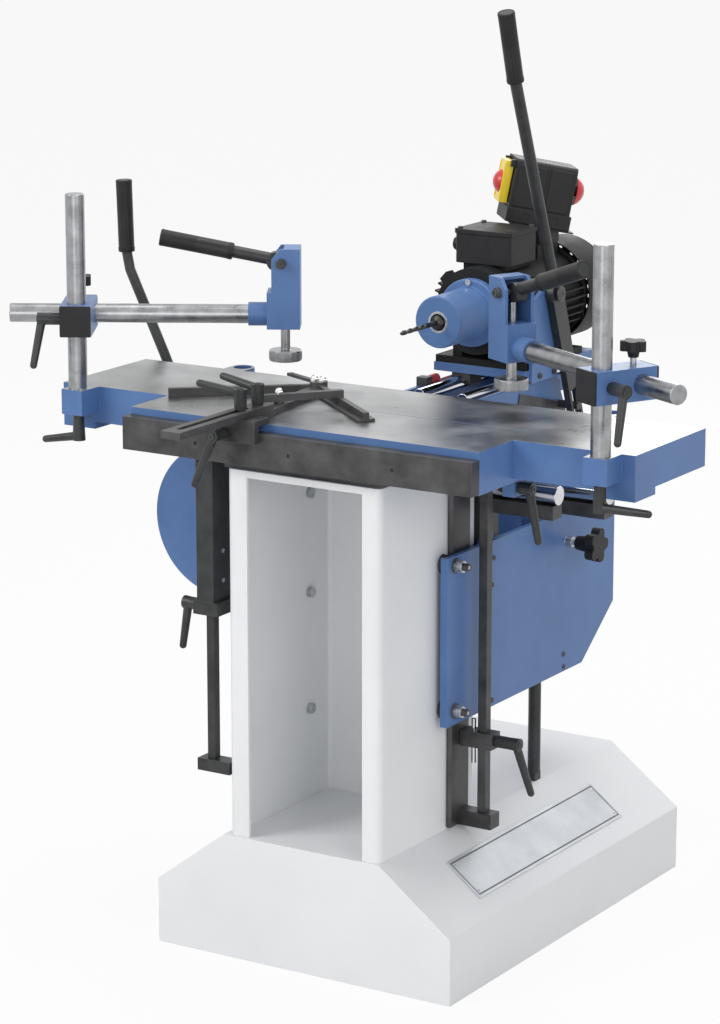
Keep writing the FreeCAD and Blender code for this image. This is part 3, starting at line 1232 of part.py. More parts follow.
def make_motor_barrel():
    """Finned barrel with bolt lugs in front, the neck of the terminals and bores for core and shaft."""
    pieces = [spindle_rod(MOTOR_FRONT, MOTOR_REAR, MOTOR_RADIUS)]
    for angle in SHIELD_LUG_ANGLES:
        lug = box(MOTOR_RADIUS - 8, MOTOR_FIN_RADIUS + 3, MOTOR_FRONT + 2, MOTOR_FRONT + 24,
                  -SHIELD_LUG_HALF, SHIELD_LUG_HALF)
        pieces.append(round_spindle(lug, angle))
    pieces.append(spindle_rod(MOTOR_REAR - MOTOR_REAR_SHIELD, MOTOR_REAR, MOTOR_FIN_RADIUS))
    for angle in range(0, 360, MOTOR_FIN_STEP):
        if 40 < angle < 140 or 210 < angle < 330:
            continue
        fin = box(MOTOR_RADIUS - 3, MOTOR_FIN_RADIUS + 3, MOTOR_FRONT + 4, MOTOR_REAR - 10,
                  -MOTOR_FIN_SHEET / 2, MOTOR_FIN_SHEET / 2)
        pieces.append(round_spindle(fin, angle))
    pieces.append(box(TERMINAL_LEFT + 12, TERMINAL_RIGHT - 12, TERMINAL_FRONT + 9, TERMINAL_REAR - 8,
                      SPINDLE_Z + STATOR_BORE, TERMINAL_BOTTOM))
    stator_front = MOTOR_FRONT + MOTOR_FRONT_SHIELD
    stator_rear = MOTOR_REAR - MOTOR_REAR_SHIELD
    barrel = joined(pieces).cut(spindle_rod(stator_front, stator_rear, STATOR_BORE))
    return barrel.cut(spindle_rod(MOTOR_FRONT - 1, MOTOR_REAR + 1, SHAFT_RADIUS + SHAFT_FIT))


def make_motor_body():
    """Barrel, and fitted to it the foot with two legs and the bracket of the switch."""
    round_body = spindle_rod(MOTOR_FRONT, MOTOR_REAR, MOTOR_RADIUS)
    foot_top = DEPTH_PLATE_TOP + MOTOR_FOOT_SHEET
    foot_front = DEPTH_PLATE_FRONT + 3
    foot_rear = DEPTH_PLATE_REAR - 45
    foot = box(DEPTH_PLATE_LEFT + 2, DEPTH_PLATE_RIGHT - 2, foot_front, foot_rear,
               DEPTH_PLATE_TOP, foot_top)
    pieces = [make_motor_barrel(), foot]
    for x in (SPINDLE_X - 62, SPINDLE_X + 62 - MOTOR_LEG_SHEET):
        leg = box(x, x + MOTOR_LEG_SHEET, foot_front + 12, foot_rear - 12, foot_top, SPINDLE_Z - 30)
        pieces.append(leg.cut(round_body))
    bracket = box(SPINDLE_X - 30, SPINDLE_X + 30, MOTOR_REAR - 90, MOTOR_REAR - 18,
                  SPINDLE_Z, switch_foot_level())
    return pieces + [bracket.cut(round_body)]


def make_nose_housing():
    barrel = spindle_rod(NOSE_FRONT, NOSE_REAR, NOSE_RADIUS)
    flange = spindle_rod(NOSE_REAR - NOSE_FLANGE, NOSE_REAR, NOSE_FLANGE_RADIUS)
    housing = joined([barrel, flange])
    housing = housing.cut(spindle_rod(NOSE_FRONT + NOSE_WALL, NOSE_REAR + 1, NOSE_BORE))
    return housing.cut(spindle_rod(NOSE_FRONT - 1, NOSE_FRONT + NOSE_WALL + 1, NOSE_HOLE))


def make_rotor():
    shaft = spindle_rod(NOSE_FRONT + 2, SHAFT_REAR, SHAFT_RADIUS)
    core = spindle_rod(CORE_FRONT, CORE_REAR, STATOR_BORE - CORE_GAP)
    hub_rear = SHAFT_REAR - 2
    hub_front = hub_rear - 20
    pieces = [shaft, core, spindle_rod(hub_front, hub_rear, FAN_HUB_RADIUS)]
    half = FAN_BLADE_SHEET / 2
    for index in range(FAN_BLADES):
        blade = box(FAN_HUB_RADIUS - 4, FAN_RADIUS, hub_front + 2, hub_rear - 2, -half, half)
        blade.rotate(V(0, 0, 0), V(0, 1, 0), 360.0 / FAN_BLADES * index)
        blade.translate(V(SPINDLE_X, 0, SPINDLE_Z))
        pieces.append(blade)
    rotor = joined(pieces)
    return rotor.cut(spindle_rod(NOSE_FRONT, NOSE_FRONT + BIT_SOCKET, BIT_RADIUS))


def make_drill_bit():
    shank = spindle_rod(BIT_TIP + BIT_POINT, NOSE_FRONT + BIT_SOCKET, BIT_RADIUS)
    point = V(SPINDLE_X, BIT_TIP, SPINDLE_Z)
    tip = cone(point, point + V(0, BIT_POINT + 0.5, 0), BIT_RADIUS - 1, BIT_RADIUS)
    return joined([shank, tip])


def make_fan_cowl():
    cowl = spindle_rod(COWL_FRONT, COWL_REAR, COWL_RADIUS)
    cowl = cowl.cut(spindle_rod(COWL_FRONT - 1, COWL_REAR - COWL_SHEET, COWL_RADIUS - COWL_SHEET))
    slots = []
    half = COWL_SLOT_WIDTH / 2
    for index in range(COWL_SLOTS):
        slot = box(COWL_SLOT_INNER, COWL_SLOT_OUTER, COWL_REAR - COWL_SHEET - 1.5, COWL_REAR + 1, -half, half)
        slot.rotate(V(0, 0, 0), V(0, 1, 0), 360.0 / COWL_SLOTS * index)
        slot.translate(V(SPINDLE_X, 0, SPINDLE_Z))
        slots.append(slot)
    cowl = cowl.cut(Part.makeCompound(slots[0::2])).cut(Part.makeCompound(slots[1::2]))
    lugs = []
    for angle in (30.0, 150.0, 270.0):
        lug = box(MOTOR_FIN_RADIUS, COWL_RADIUS - 1, COWL_FRONT, MOTOR_REAR, -6, 6)
        lug.rotate(V(0, 0, 0), V(0, 1, 0), angle)
        lug.translate(V(SPINDLE_X, 0, SPINDLE_Z))
        lugs.append(lug.cut(spindle_rod(COWL_FRONT - 1, MOTOR_REAR + 1, MOTOR_FIN_RADIUS)))
    return joined([cowl] + lugs)


def make_terminal_box():
    body = box(TERMINAL_LEFT, TERMINAL_RIGHT, TERMINAL_FRONT, TERMINAL_REAR, TERMINAL_BOTTOM, TERMINAL_TOP)
    body = rounded(body, TERMINAL_CORNER, V(0, 0, 1))
    edge = TERMINAL_LID_EDGE
    lid = box(TERMINAL_LEFT - edge, TERMINAL_RIGHT + edge, TERMINAL_FRONT - edge, TERMINAL_REAR + edge,
              TERMINAL_TOP - 1, TERMINAL_TOP + TERMINAL_LID)
    lid = rounded(lid, TERMINAL_CORNER + 1, V(0, 0, 1))
    mouth = V(TERMINAL_LEFT, GLAND_Y, GLAND_Z)
    gland = rod(mouth + V(2, 0, 0), mouth - V(20, 0, 0), GLAND_RADIUS)
    nut = rod(mouth - V(10, 0, 0), mouth - V(16, 0, 0), GLAND_NUT_RADIUS)
    return joined([body, lid, gland, nut])


# Switch, drawn about its own origin: x from the flap to the round button, z up

def switch_placed(shape):
    turn = math.radians(SWITCH_TURN)
    tilt = math.radians(SWITCH_TILT)
    x_axis = V(math.cos(turn) * math.cos(tilt), math.sin(turn) * math.cos(tilt), -math.sin(tilt))
    side = V(-math.sin(turn), math.cos(turn), 0)
    return placed(shape, SWITCH_CENTRE, x_axis, x_axis.cross(side))


def hinge_pin(half_length, radius):
    """Rod on the hinge line of the flap, in the switch's own axes."""
    middle = V(-SWITCH_LENGTH / 2 - HINGE_OUT, 0, SWITCH_HEIGHT / 2 - HINGE_DROP)
    reach = V(0, half_length, 0)
    return rod(middle - reach, middle + reach, radius)


def make_switch_housing():
    half_l = SWITCH_LENGTH / 2
    half_w = SWITCH_WIDTH / 2
    half_h = SWITCH_HEIGHT / 2
    body = box(-half_l, half_l, -half_w, half_w, -half_h, half_h)
    body = rounded(body, SWITCH_CORNER, V(1, 0, 0))
    hinge_z = half_h - HINGE_DROP
    ear_start = FLAP_HALF + 1
    ear_end = ear_start + HINGE_EAR
    ears = []
    for y0, y1 in ((ear_start, ear_end), (-ear_end, -ear_start)):
        ears.append(box(-half_l - HINGE_OUT * 2, -half_l + 1, y0, y1, hinge_z - 6, hinge_z + 6))
    body = joined([body, hinge_pin(HINGE_PIN_HALF, HINGE_PIN)] + ears)
    rise = MUSHROOM_RISE
    body = body.cut(rod(V(half_l - 22, 0, rise), V(half_l + 1, 0, rise), MUSHROOM_STEM + MUSHROOM_FIT))
    foot_x = SPINDLE_X - 25
    foot_y = MOTOR_REAR - 68
    level = switch_foot_level()
    foot = box(foot_x, foot_x + 60, foot_y, foot_y + 44, level, level + SWITCH_FOOT_HEIGHT)
    return joined([switch_placed(body), foot])


def make_switch_flap():
    half_l = SWITCH_LENGTH / 2
    half_h = SWITCH_HEIGHT / 2
    back = -half_l - FLAP_GAP
    face = back - FLAP_SHEET
    plate = box(face, back, -FLAP_HALF, FLAP_HALF, -half_h + FLAP_BOTTOM_GAP, half_h - FLAP_TOP_GAP)
    plate = plate.cut(hinge_pin(FLAP_HALF + 1, HINGE_PIN + HINGE_FIT))
    button = dome(V(face, 0, FLAP_BUTTON_RISE), V(-1, 0, 0), FLAP_BUTTON_RADIUS, FLAP_BUTTON_HEIGHT)
    return [switch_placed(plate), switch_placed(button)]


def make_mushroom_button():
    half_l = SWITCH_LENGTH / 2
    rise = MUSHROOM_RISE
    stem = rod(V(half_l - 14, 0, rise), V(half_l + MUSHROOM_OUT + 2, 0, rise), MUSHROOM_STEM)
    head = dome(V(half_l + MUSHROOM_OUT, 0, rise), V(1, 0, 0), MUSHROOM_RADIUS, MUSHROOM_HEIGHT)
    return switch_placed(joined([stem, head]))


# Levers

def make_depth_lever():
    """Lever in three solids that touch: its bent rod with the eye, and the two prongs of its fork."""
    x0 = LEVER_CENTRE_X - LEVER_SHEET / 2
    x1 = LEVER_CENTRE_X + LEVER_SHEET / 2
    pivot = V(LEVER_CENTRE_X, LEVER_PIVOT_Y, LEVER_PIVOT_Z)
    flat = plate_along_x(lever_bar_outline(), x0, x1)
    eye = rod(V(x0, pivot.y, pivot.z), V(x1, pivot.y, pivot.z), LEVER_EYE_RADIUS)
    knee = pivot + V(0, -LEVER_KNEE_FORWARD, LEVER_KNEE_RISE)
    grip_start = pivot + V(0, -LEVER_GRIP_FORWARD, LEVER_GRIP_RISE)
    grip_end = pivot + V(0, -LEVER_END_FORWARD, LEVER_END_RISE)
    stem = rod(pivot + V(0, -8, 13), knee, LEVER_STEM_RADIUS)
    upper = rod(knee, grip_start, LEVER_ROD_RADIUS)
    ball = Part.makeSphere(LEVER_ROD_RADIUS, knee)
    grip = rod(grip_start, grip_end, HANDLE_GRIP_RADIUS)
    lever = joined([flat, eye, stem, ball, upper, grip])
    lever = lever.cut(rod(pivot - V(20, 0, 0), pivot + V(20, 0, 0), LEVER_PIVOT_RADIUS + STUD_FIT))
    lower_end = along_lever(LEVER_EYE_RADIUS * 2)
    gap = along_lever(LEVER_PIN_RADIUS + LEVER_FORK_CLEARANCE)
    prongs = lever.common(lower_end).cut(gap)
    return [lever.cut(lower_end)] + prongs.Solids


def lever_bar_outline():
    """Flat bar from the eye at the pivot down round the pin on the long slide."""
    y, z = LEVER_PIVOT_Y, LEVER_PIVOT_Z
    pin_y, pin_z = LEVER_PIN_Y, LEVER_PIN_Z
    return [
        (y - 12, z + 25), (y - 18, z - 5), (pin_y - 36, pin_z + 51), (pin_y - 9, pin_z - 28),
        (pin_y + 24, pin_z - 17), (pin_y - 3, pin_z + 62), (y + 18, z + 7),
    ]


def along_lever(half):
    """Block as wide as given round the pin's line, from the root of the fork to beyond its open end."""
    run = V(0, LEVER_PIN_Y - LEVER_PIVOT_Y, LEVER_PIN_Z - LEVER_PIVOT_Z).normalize()
    pin = V(LEVER_CENTRE_X, LEVER_PIN_Y, LEVER_PIN_Z)
    block = box(-20, 20, -half, half, -LEVER_FORK_REACH, LEVER_FORK_DEPTH)
    block.Placement = FreeCAD.Placement(pin, FreeCAD.Rotation(V(0, 0, -1), run))
    return block


def make_cross_lever():
    low = V(CROSS_X, CROSS_ROD_Y, CROSS_Z)
    hub_front = CROSS_ROD_Y - CROSS_HUB_HALF
    hub_rear = CROSS_ROD_Y + CROSS_HUB_HALF
    crank_rear = hub_rear + CRANK_SHEET
    bend = low + V(-CROSS_BEND_ACROSS, 0, CROSS_BEND_RISE)
    shoulder = low + V(-CROSS_SHOULDER_ACROSS, 0, CROSS_SHOULDER_RISE)
    grip_start = low + V(-CROSS_GRIP_ACROSS, 0, CROSS_GRIP_RISE)
    grip_end = low + V(-CROSS_END_ACROSS, 0, CROSS_END_RISE)
    radius = CROSS_ROD_RADIUS
    pieces = [cross_rod(hub_front, hub_rear, CROSS_HUB_RADIUS), rod(low, bend, radius)]
    pieces += [rod(bend, shoulder, radius), rod(shoulder, grip_start, radius)]
    pieces += [Part.makeSphere(radius, bend), Part.makeSphere(radius, shoulder)]
    pieces.append(rod(grip_start, grip_end, HANDLE_GRIP_RADIUS))
    pin = crank_pin_place()
    centre = V(CROSS_X, 0, CROSS_Z)
    run = pin - centre
    side = V(run.z, 0, -run.x).normalize() * CRANK_HALF
    corners = [centre - side, centre + side, pin + side, pin - side]
    pieces.append(plate_along_y([(corner.x, corner.z) for corner in corners], hub_rear, crank_rear))
    pieces.append(cross_rod(hub_rear - 1, crank_rear, CROSS_HUB_RADIUS))
    pieces.append(rod(V(pin.x, hub_rear, pin.z), V(pin.x, crank_rear, pin.z), CRANK_HALF))
    pieces.append(rod(V(pin.x, crank_rear - 1, pin.z), V(pin.x, CRANK_PIN_REAR, pin.z), CRANK_PIN))
    lever = joined(pieces)
    return lever.cut(cross_rod(hub_front - 10, crank_rear + 8, CROSS_AXLE + STUD_FIT))


def cross_rod(y0, y1, radius):
    return rod(V(CROSS_X, y0, CROSS_Z), V(CROSS_X, y1, CROSS_Z), radius)


# Clamps, described by the post they stand on and the way they point

class Clamp:
    """Places of one clamp: along the arm, along the tube and its heights."""

    def __init__(self, side, post_x, along, tube_z, arm_outer, head_reach, handle_rise, pad_drop):
        self.side = side
        self.post = V(post_x, POST_Y, 0)
        self.along = V(along[0], along[1], 0).normalize()
        self.across = V(-self.along.y, self.along.x, 0)
        if side == "right":
            self.inward = self.along * -1
        else:
            self.inward = V(self.along)
        self.tube_z = tube_z
        self.arm_outer = arm_outer
        self.head_reach = head_reach
        self.handle_rise = handle_rise
        self.pad_drop = pad_drop
        self.arm_root = self.post + self.across * ARM_OFFSET + V(0, 0, tube_z)
        self.head = self.arm_root + self.inward * head_reach
        self.head_bottom = tube_z - HEAD_ARM_RISE

    def in_tube(self, shape):
        return placed(shape, self.post + V(0, 0, self.tube_z), self.across, V(0, 0, 1))

    def in_head(self, shape):
        """Local x points from the post to the head, z up from the underside of the head."""
        origin = V(self.head.x, self.head.y, self.head_bottom)
        return placed(shape, origin, self.inward, V(0, 0, 1))

    def lever_seat(self):
        return self.post + V(0, 0, self.tube_z) - self.inward * (TUBE_SIZE / 2)

    def knob_seat(self):
        return self.arm_root + V(0, 0, TUBE_SIZE / 2)


def make_clamp_block(clamp):
    half = TUBE_SIZE / 2
    inner = half - TUBE_SHEET
    tube = box(-TUBE_FRONT, TUBE_REAR, -half, half, -half, half)
    tube = tube.cut(box(-TUBE_FRONT - 1, TUBE_REAR + 1, -inner, inner, -inner, inner))
    web = box(-POST_WEB, POST_WEB, -inner - 1, inner + 1, -inner - 1, inner + 1)
    arm_web = box(ARM_OFFSET - ARM_WEB, ARM_OFFSET + ARM_WEB, -inner - 1, inner + 1, -inner - 1, inner + 1)
    tube = joined([tube, web, arm_web])
    tube = tube.cut(rod(V(0, 0, -half - 1), V(0, 0, half + 1), POST_RADIUS + POST_FIT))
    tube = tube.cut(rod(V(ARM_OFFSET, -half - 1, 0), V(ARM_OFFSET, half + 1, 0), POST_RADIUS + ARM_FIT))
    caps = [
        box(-TUBE_FRONT - CAP_SHEET, -TUBE_FRONT, -half, half, -half, half),
        box(TUBE_REAR, TUBE_REAR + CAP_SHEET, -half, half, -half, half),
    ]
    block = clamp.in_tube(tube)
    block = block.cut(stud_hole(clamp.lever_seat(), clamp.inward * -1))
    block = block.cut(stud_hole(clamp.knob_seat(), V(0, 0, 1)))
    return [block] + [clamp.in_tube(rounded(cap, TUBE_CORNER, V(1, 0, 0))) for cap in caps]


def make_clamp_arm(clamp):
    start = clamp.arm_root - clamp.inward * clamp.arm_outer
    end = clamp.head - clamp.inward * HEAD_FOOT_BACK
    return rod(start, end, POST_RADIUS)


def make_clamp_head(clamp):
    half = HEAD_WIDTH / 2
    foot = box(-HEAD_FOOT_BACK, HEAD_FRONT, -half, half, 0, HEAD_FOOT_HEIGHT)
    back = box(HEAD_FRONT - HEAD_CHEEK, HEAD_FRONT, -half, half, HEAD_FOOT_HEIGHT - 1, HEAD_HEIGHT)
    top = box(-HEAD_TOP_BACK, HEAD_FRONT, -half, half, HEAD_HEIGHT - HEAD_TOP_SHEET, HEAD_HEIGHT)
    cheek_outline = [
        (-HEAD_BACK, HEAD_FOOT_HEIGHT - 1), (-HEAD_BACK, HEAD_HEIGHT - HEAD_CHAMFER),
        (-HEAD_BACK + HEAD_CHAMFER_RUN, HEAD_HEIGHT), (HEAD_FRONT, HEAD_HEIGHT),
        (HEAD_FRONT, HEAD_FOOT_HEIGHT - 1),
    ]
    pieces = [foot, back, top]
    for y0 in (-half, half - HEAD_CHEEK):
        pieces.append(plate_along_y(cheek_outline, y0, y0 + HEAD_CHEEK))
    collar_end = -HEAD_FOOT_BACK - HEAD_COLLAR
    collar_radius = POST_RADIUS + HEAD_COLLAR_WALL
    collar = rod(V(-HEAD_FOOT_BACK + 1, 0, HEAD_ARM_RISE), V(collar_end, 0, HEAD_ARM_RISE), collar_radius)
    head = joined(pieces + [collar])
    head = head.cut(rod(V(0, 0, -1), V(0, 0, HEAD_FOOT_HEIGHT + 1), PLUNGER_RADIUS + ARM_FIT))
    arm_bore = rod(V(collar_end - 1, 0, HEAD_ARM_RISE), V(-HEAD_FOOT_BACK, 0, HEAD_ARM_RISE), POST_RADIUS)
    head = head.cut(arm_bore)
    bolt = handle_bolt(-half - 6, half + 6, HANDLE_BOLT)
    near = handle_bolt(-half - BOLT_HEAD_HEIGHT, -half, HANDLE_BOLT_HEAD)
    far = handle_bolt(half, half + BOLT_HEAD_HEIGHT, HANDLE_BOLT_HEAD)
    return clamp.in_head(joined([head, bolt, near, far]))


def handle_bolt(y0, y1, radius):
    return rod(V(-HANDLE_BACK, y0, HANDLE_RISE), V(-HANDLE_BACK, y1, HANDLE_RISE), radius)


def make_clamp_handle(clamp):
    """Eccentric hub between the cheeks, forged neck, rod and grip."""
    rise = math.radians(clamp.handle_rise)
    reach = V(-math.cos(rise), 0, math.sin(rise))
    pivot = V(-HANDLE_BACK, 0, HANDLE_RISE)
    half = HANDLE_SHEET / 2
    cam_centre = pivot - V(CAM_THROW, 0, 0)
    cam = rod(cam_centre - V(0, half, 0), cam_centre + V(0, half, 0), CAM_RADIUS)
    eye = handle_bolt(-half, half, HANDLE_EYE)
    neck = rod(pivot + reach * 10, pivot + reach * (HANDLE_LENGTH - HANDLE_GRIP + 4), HANDLE_ROD_RADIUS)
    grip_start = pivot + reach * (HANDLE_LENGTH - HANDLE_GRIP)
    grip = rod(grip_start, pivot + reach * HANDLE_LENGTH, HANDLE_GRIP_RADIUS)
    handle = joined([cam, eye, neck, grip])
    handle = handle.cut(handle_bolt(-HANDLE_SHEET, HANDLE_SHEET, HANDLE_BOLT + STUD_FIT))
    return clamp.in_head(handle)


def make_clamp_plunger(clamp):
    bottom = -clamp.pad_drop
    top = HANDLE_RISE - CAM_RADIUS - CAM_GAP
    stem = rod(V(0, 0, bottom + PAD_HEIGHT - 2), V(0, 0, top), PLUNGER_RADIUS)
    pad = rod(V(0, 0, bottom), V(0, 0, bottom + PAD_HEIGHT), PAD_RADIUS)
    return clamp.in_head(joined([stem, pad]))


def write_clamp(clamp):
    write("clamp_block_" + clamp.side, make_clamp_block(clamp))
    write("clamp_arm_" + clamp.side, [make_clamp_arm(clamp)])
    write("clamp_head_" + clamp.side, [make_clamp_head(clamp)])
    write("clamp_handle_" + clamp.side, [make_clamp_handle(clamp)])
    write("clamp_plunger_" + clamp.side, [make_clamp_plunger(clamp)])
    lever = clamp_lever(40, 78, 46, TUBE_STUD_DEPTH)
    outward = clamp.inward * -1
    hang = V(0, 0, -1) + clamp.across * -0.25
    write("clamp_lever_" + clamp.side, [placed(lever, clamp.lever_seat(), hang, outward)])
    knob = star_knob(KNOB_RADIUS, KNOB_STUD, KNOB_NECK, TUBE_STUD_DEPTH)
    write("clamp_knob_" + clamp.side, [placed(knob, clamp.knob_seat(), V(1, 0, 0), V(0, 0, 1))])


# Stop on the table

def make_stop_claw():
    top = box(CLAW_LEFT, CLAW_RIGHT, CLAW_FRONT, CLAW_REAR, TABLE_TOP + TABLE_GAP, CLAW_TOP)
    leg = box(CLAW_LEFT, CLAW_RIGHT, CLAW_FRONT, FENCE_FRONT - TABLE_GAP, CLAW_LEG_BOTTOM, CLAW_TOP)
    claw = joined([top, leg])
    claw = claw.cut(stud_hole(claw_lever_seat(), V(0, -1, 0)))
    return claw.cut(rod(front_lever_seat() - V(0, 0, LONG_STUD), front_lever_seat(), STUD_RADIUS + STUD_FIT))


def claw_lever_seat():
    return V(CLAW_LEVER_X, CLAW_FRONT, CLAW_LEVER_Z)


def front_lever_seat():
    return V(SLOT_BAR_X, FRONT_STUD_Y, SLOT_BAR_TOP)


def rear_lever_seat():
    return V(SLOT_BAR_X, REAR_STUD_Y, SLOT_BAR_TOP)


def make_stop_bar():
    """Slotted bar as four solids that touch: a strip on each side of the slot and the two ends."""
    bar = box(SLOT_BAR_X - SLOT_BAR_WIDTH / 2, SLOT_BAR_X + SLOT_BAR_WIDTH / 2, SLOT_BAR_FRONT, SLOT_BAR_REAR,
              CLAW_TOP, SLOT_BAR_TOP)
    half = SLOT_WIDTH / 2
    slot = box(SLOT_BAR_X - half, SLOT_BAR_X + half, SLOT_FRONT, SLOT_REAR, CLAW_TOP - 1, SLOT_BAR_TOP + 1)
    bar = bar.cut(rounded(slot, half - 0.2, V(0, 0, 1)))
    bar = bar.cut(rod(V(SLOT_BAR_X, REAR_STUD_Y, CLAW_TOP - 1), V(SLOT_BAR_X, REAR_STUD_Y, SLOT_BAR_TOP + 1),
                      STUD_RADIUS + STUD_FIT))
    middle = box(SLOT_BAR_X - SLOT_BAR_WIDTH, SLOT_BAR_X + SLOT_BAR_WIDTH,
                 SLOT_FRONT + half, SLOT_REAR - half, CLAW_TOP - 1, SLOT_BAR_TOP + 1)
    return bar.common(middle).Solids + bar.cut(middle).Solids


def make_stop_vee():
    """Link under the slotted bar with the two arms of the right-angled stop."""
    bottom = TABLE_TOP + TABLE_GAP
    pivot = (SLOT_BAR_X, REAR_STUD_Y)
    link = bar_between(pivot, APEX, LINK_WIDTH, bottom, CLAW_TOP)
    eye = upright(pivot, bottom, CLAW_TOP, LINK_WIDTH / 2)
    left = bar_between(VEE_LEFT_END, APEX, VEE_SHEET, bottom, VEE_TOP)
    right = bar_between(APEX, VEE_RIGHT_END, VEE_SHEET, bottom, VEE_TOP)
    right_foot = bar_between(APEX, VEE_RIGHT_END, LINK_WIDTH, bottom, bottom + VEE_FOOT_SHEET)
    knee = upright(APEX, bottom, VEE_TOP, LINK_WIDTH / 2)
    vee = joined([link, eye, left, right, right_foot, knee])
    vee = vee.cut(upright(pivot, bottom - 1, CLAW_TOP + 1, STUD_RADIUS + STUD_FIT))
    brace_top = VEE_TOP + BRACE_SECTION
    brace = bar_between(BRACE_START, BRACE_END, BRACE_SECTION, VEE_TOP, brace_top)
    spacer = upright(SPACER, CLAW_TOP, VEE_TOP, SPACER_RADIUS)
    thin_top = VEE_TOP + THIN_SHEET
    thin = bar_between(THIN_START, APEX, VEE_SHEET, VEE_TOP, thin_top)
    washer = upright(APEX, VEE_TOP, thin_top, LINK_WIDTH / 2)
    nuts = []
    for side in (-NUT_SIDE, NUT_SIDE):
        nuts.append(upright((APEX[0] + side, APEX[1]), thin_top, thin_top + NUT_HEIGHT, NUT_RADIUS))
    nuts.append(upright(SPACER, brace_top, brace_top + LOW_NUT_HEIGHT, NUT_RADIUS))
    return [vee, spacer, brace, joined([thin, washer])] + nuts


def upright(place, bottom, top, radius):
    """Upright round piece over an (x, y) point."""
    return rod(V(place[0], place[1], bottom), V(place[0], place[1], top), radius)


def build():
    write("base", [make_base()])
    write("name_plate", [make_name_plate()])
    write("column", [make_column()])
    write("lift_rails", make_lift_rails())
    write("table_mount_plate", [make_mount_plate()])
    write("table_centre", [make_table_centre()])
    write("table_wing_right", [make_wing(1, POST_RIGHT_X)])
    write("table_wing_left", [make_wing(-1, POST_LEFT_X)])
    write("fence_rail", [make_fence_rail()])
    write("clamp_posts", make_clamp_posts())
    write("table_prop", make_table_prop())
    write("frame_screws", make_frame_screws())
    write("strut_tube", [make_strut_tube()])
    write("height_stop_block", make_height_stop_block())
    lever = clamp_lever(46, 96, 50)
    write("height_stop_lever", [placed(lever, stop_lever_seat(), V(0, 0.35, -1), V(1, 0, 0))])
    lever = clamp_lever(30, 78, 40)
    write("prop_lever", [placed(lever, prop_lever_seat(), V(0, 0.1, -1), V(-1, 0, 0))])
    lever = clamp_lever(26, 86, 34)
    write("table_lock_lever", [placed(lever, table_lock_seat(), V(0, 0.05, -1), V(1, 0, 0))])
    lever = clamp_lever(46, 84, 38)
    seat = V(POST_RIGHT_X, POST_Y, BOSS_BOTTOM)
    write("post_lever_right", [placed(lever, seat, V(1, 0, 0), V(0, 0, -1))])
    lever = clamp_lever(46, 70, 52)
    seat = V(POST_LEFT_X, POST_Y, BOSS_BOTTOM)
    write("post_lever_left", [placed(lever, seat, V(-1, 0, 0), V(0, 0, -1))])
    write("carriage_frame", make_carriage_frame())
    write("guide_bars", make_guide_bars())
    write("strut_rod", [make_strut_rod()])
    write("rollers_lower", make_rollers(ROLLER_LEVELS[0]))
    write("rollers_upper", make_rollers(ROLLER_LEVELS[1]))
    knob = star_knob(CARRIAGE_KNOB_RADIUS, CARRIAGE_KNOB_STUD, CARRIAGE_KNOB_NECK)
    write("carriage_knob", [placed(knob, carriage_knob_seat(), V(0, 1, 0), V(1, 0, 0))])
    write("lever_disc", make_lever_disc())
    write("long_slide", make_long_slide())
    write("depth_rails", make_depth_rails())
    write("depth_plate", [make_depth_plate()])
    write("motor_body", make_motor_body())
    write("nose_housing", [make_nose_housing()])
    write("rotor", [make_rotor()])
    write("drill_bit", [make_drill_bit()])
    write("fan_cowl", [make_fan_cowl()])
    write("terminal_box", [make_terminal_box()])
    write("switch_housing", [make_switch_housing()])
    write("switch_flap", make_switch_flap())
    write("mushroom_button", [make_mushroom_button()])
    write("depth_lever", make_depth_lever())
    write("cross_lever", [make_cross_lever()])
    right = Clamp("right", POST_RIGHT_X, (0.888, -0.46), CLAMP_RIGHT_Z, 120.0, 340.0, 18.0, PAD_DROP_RIGHT)
    left = Clamp("left", POST_LEFT_X, (0.864, 0.503), CLAMP_LEFT_Z, 119.0, 346.0, 11.0, PAD_DROP_LEFT)
    write_clamp(right)
    write_clamp(left)
    write("stop_claw", [make_stop_claw()])
    write("stop_bar", make_stop_bar())
    write("stop_vee", make_stop_vee())
    lever = clamp_lever(36, 84, 44)
    write("stop_lever_claw", [placed(lever, claw_lever_seat(), V(-0.35, 0, -1), V(0, -1, 0))])
    body = lever_body(34, 72, 38)
    front = [placed(body, front_lever_seat(), V(-1, -0.15, 0), V(0, 0, 1))]
    front.append(rod(front_lever_seat() - V(0, 0, LONG_STUD), front_lever_seat(), STUD_RADIUS))
    write("stop_lever_front", front)
    lever = clamp_lever(34, 72, 38, LONG_STUD)
    write("stop_lever_rear", [placed(lever, rear_lever_seat(), V(-1, 0.1, 0), V(0, 0, 1))])


build()
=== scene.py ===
"""Looks of a horizontal slot mortiser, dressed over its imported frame."""
import json
import logging
import math
from collections.abc import Callable, Sequence
from dataclasses import dataclass, field
from enum import Enum

import bmesh
import bpy
from bmesh.types import BMesh, BMVert
from bpy.types import Material, Mesh, Node, NodeSocket, NodeTree, Object, World
from mathutils import Matrix, Vector


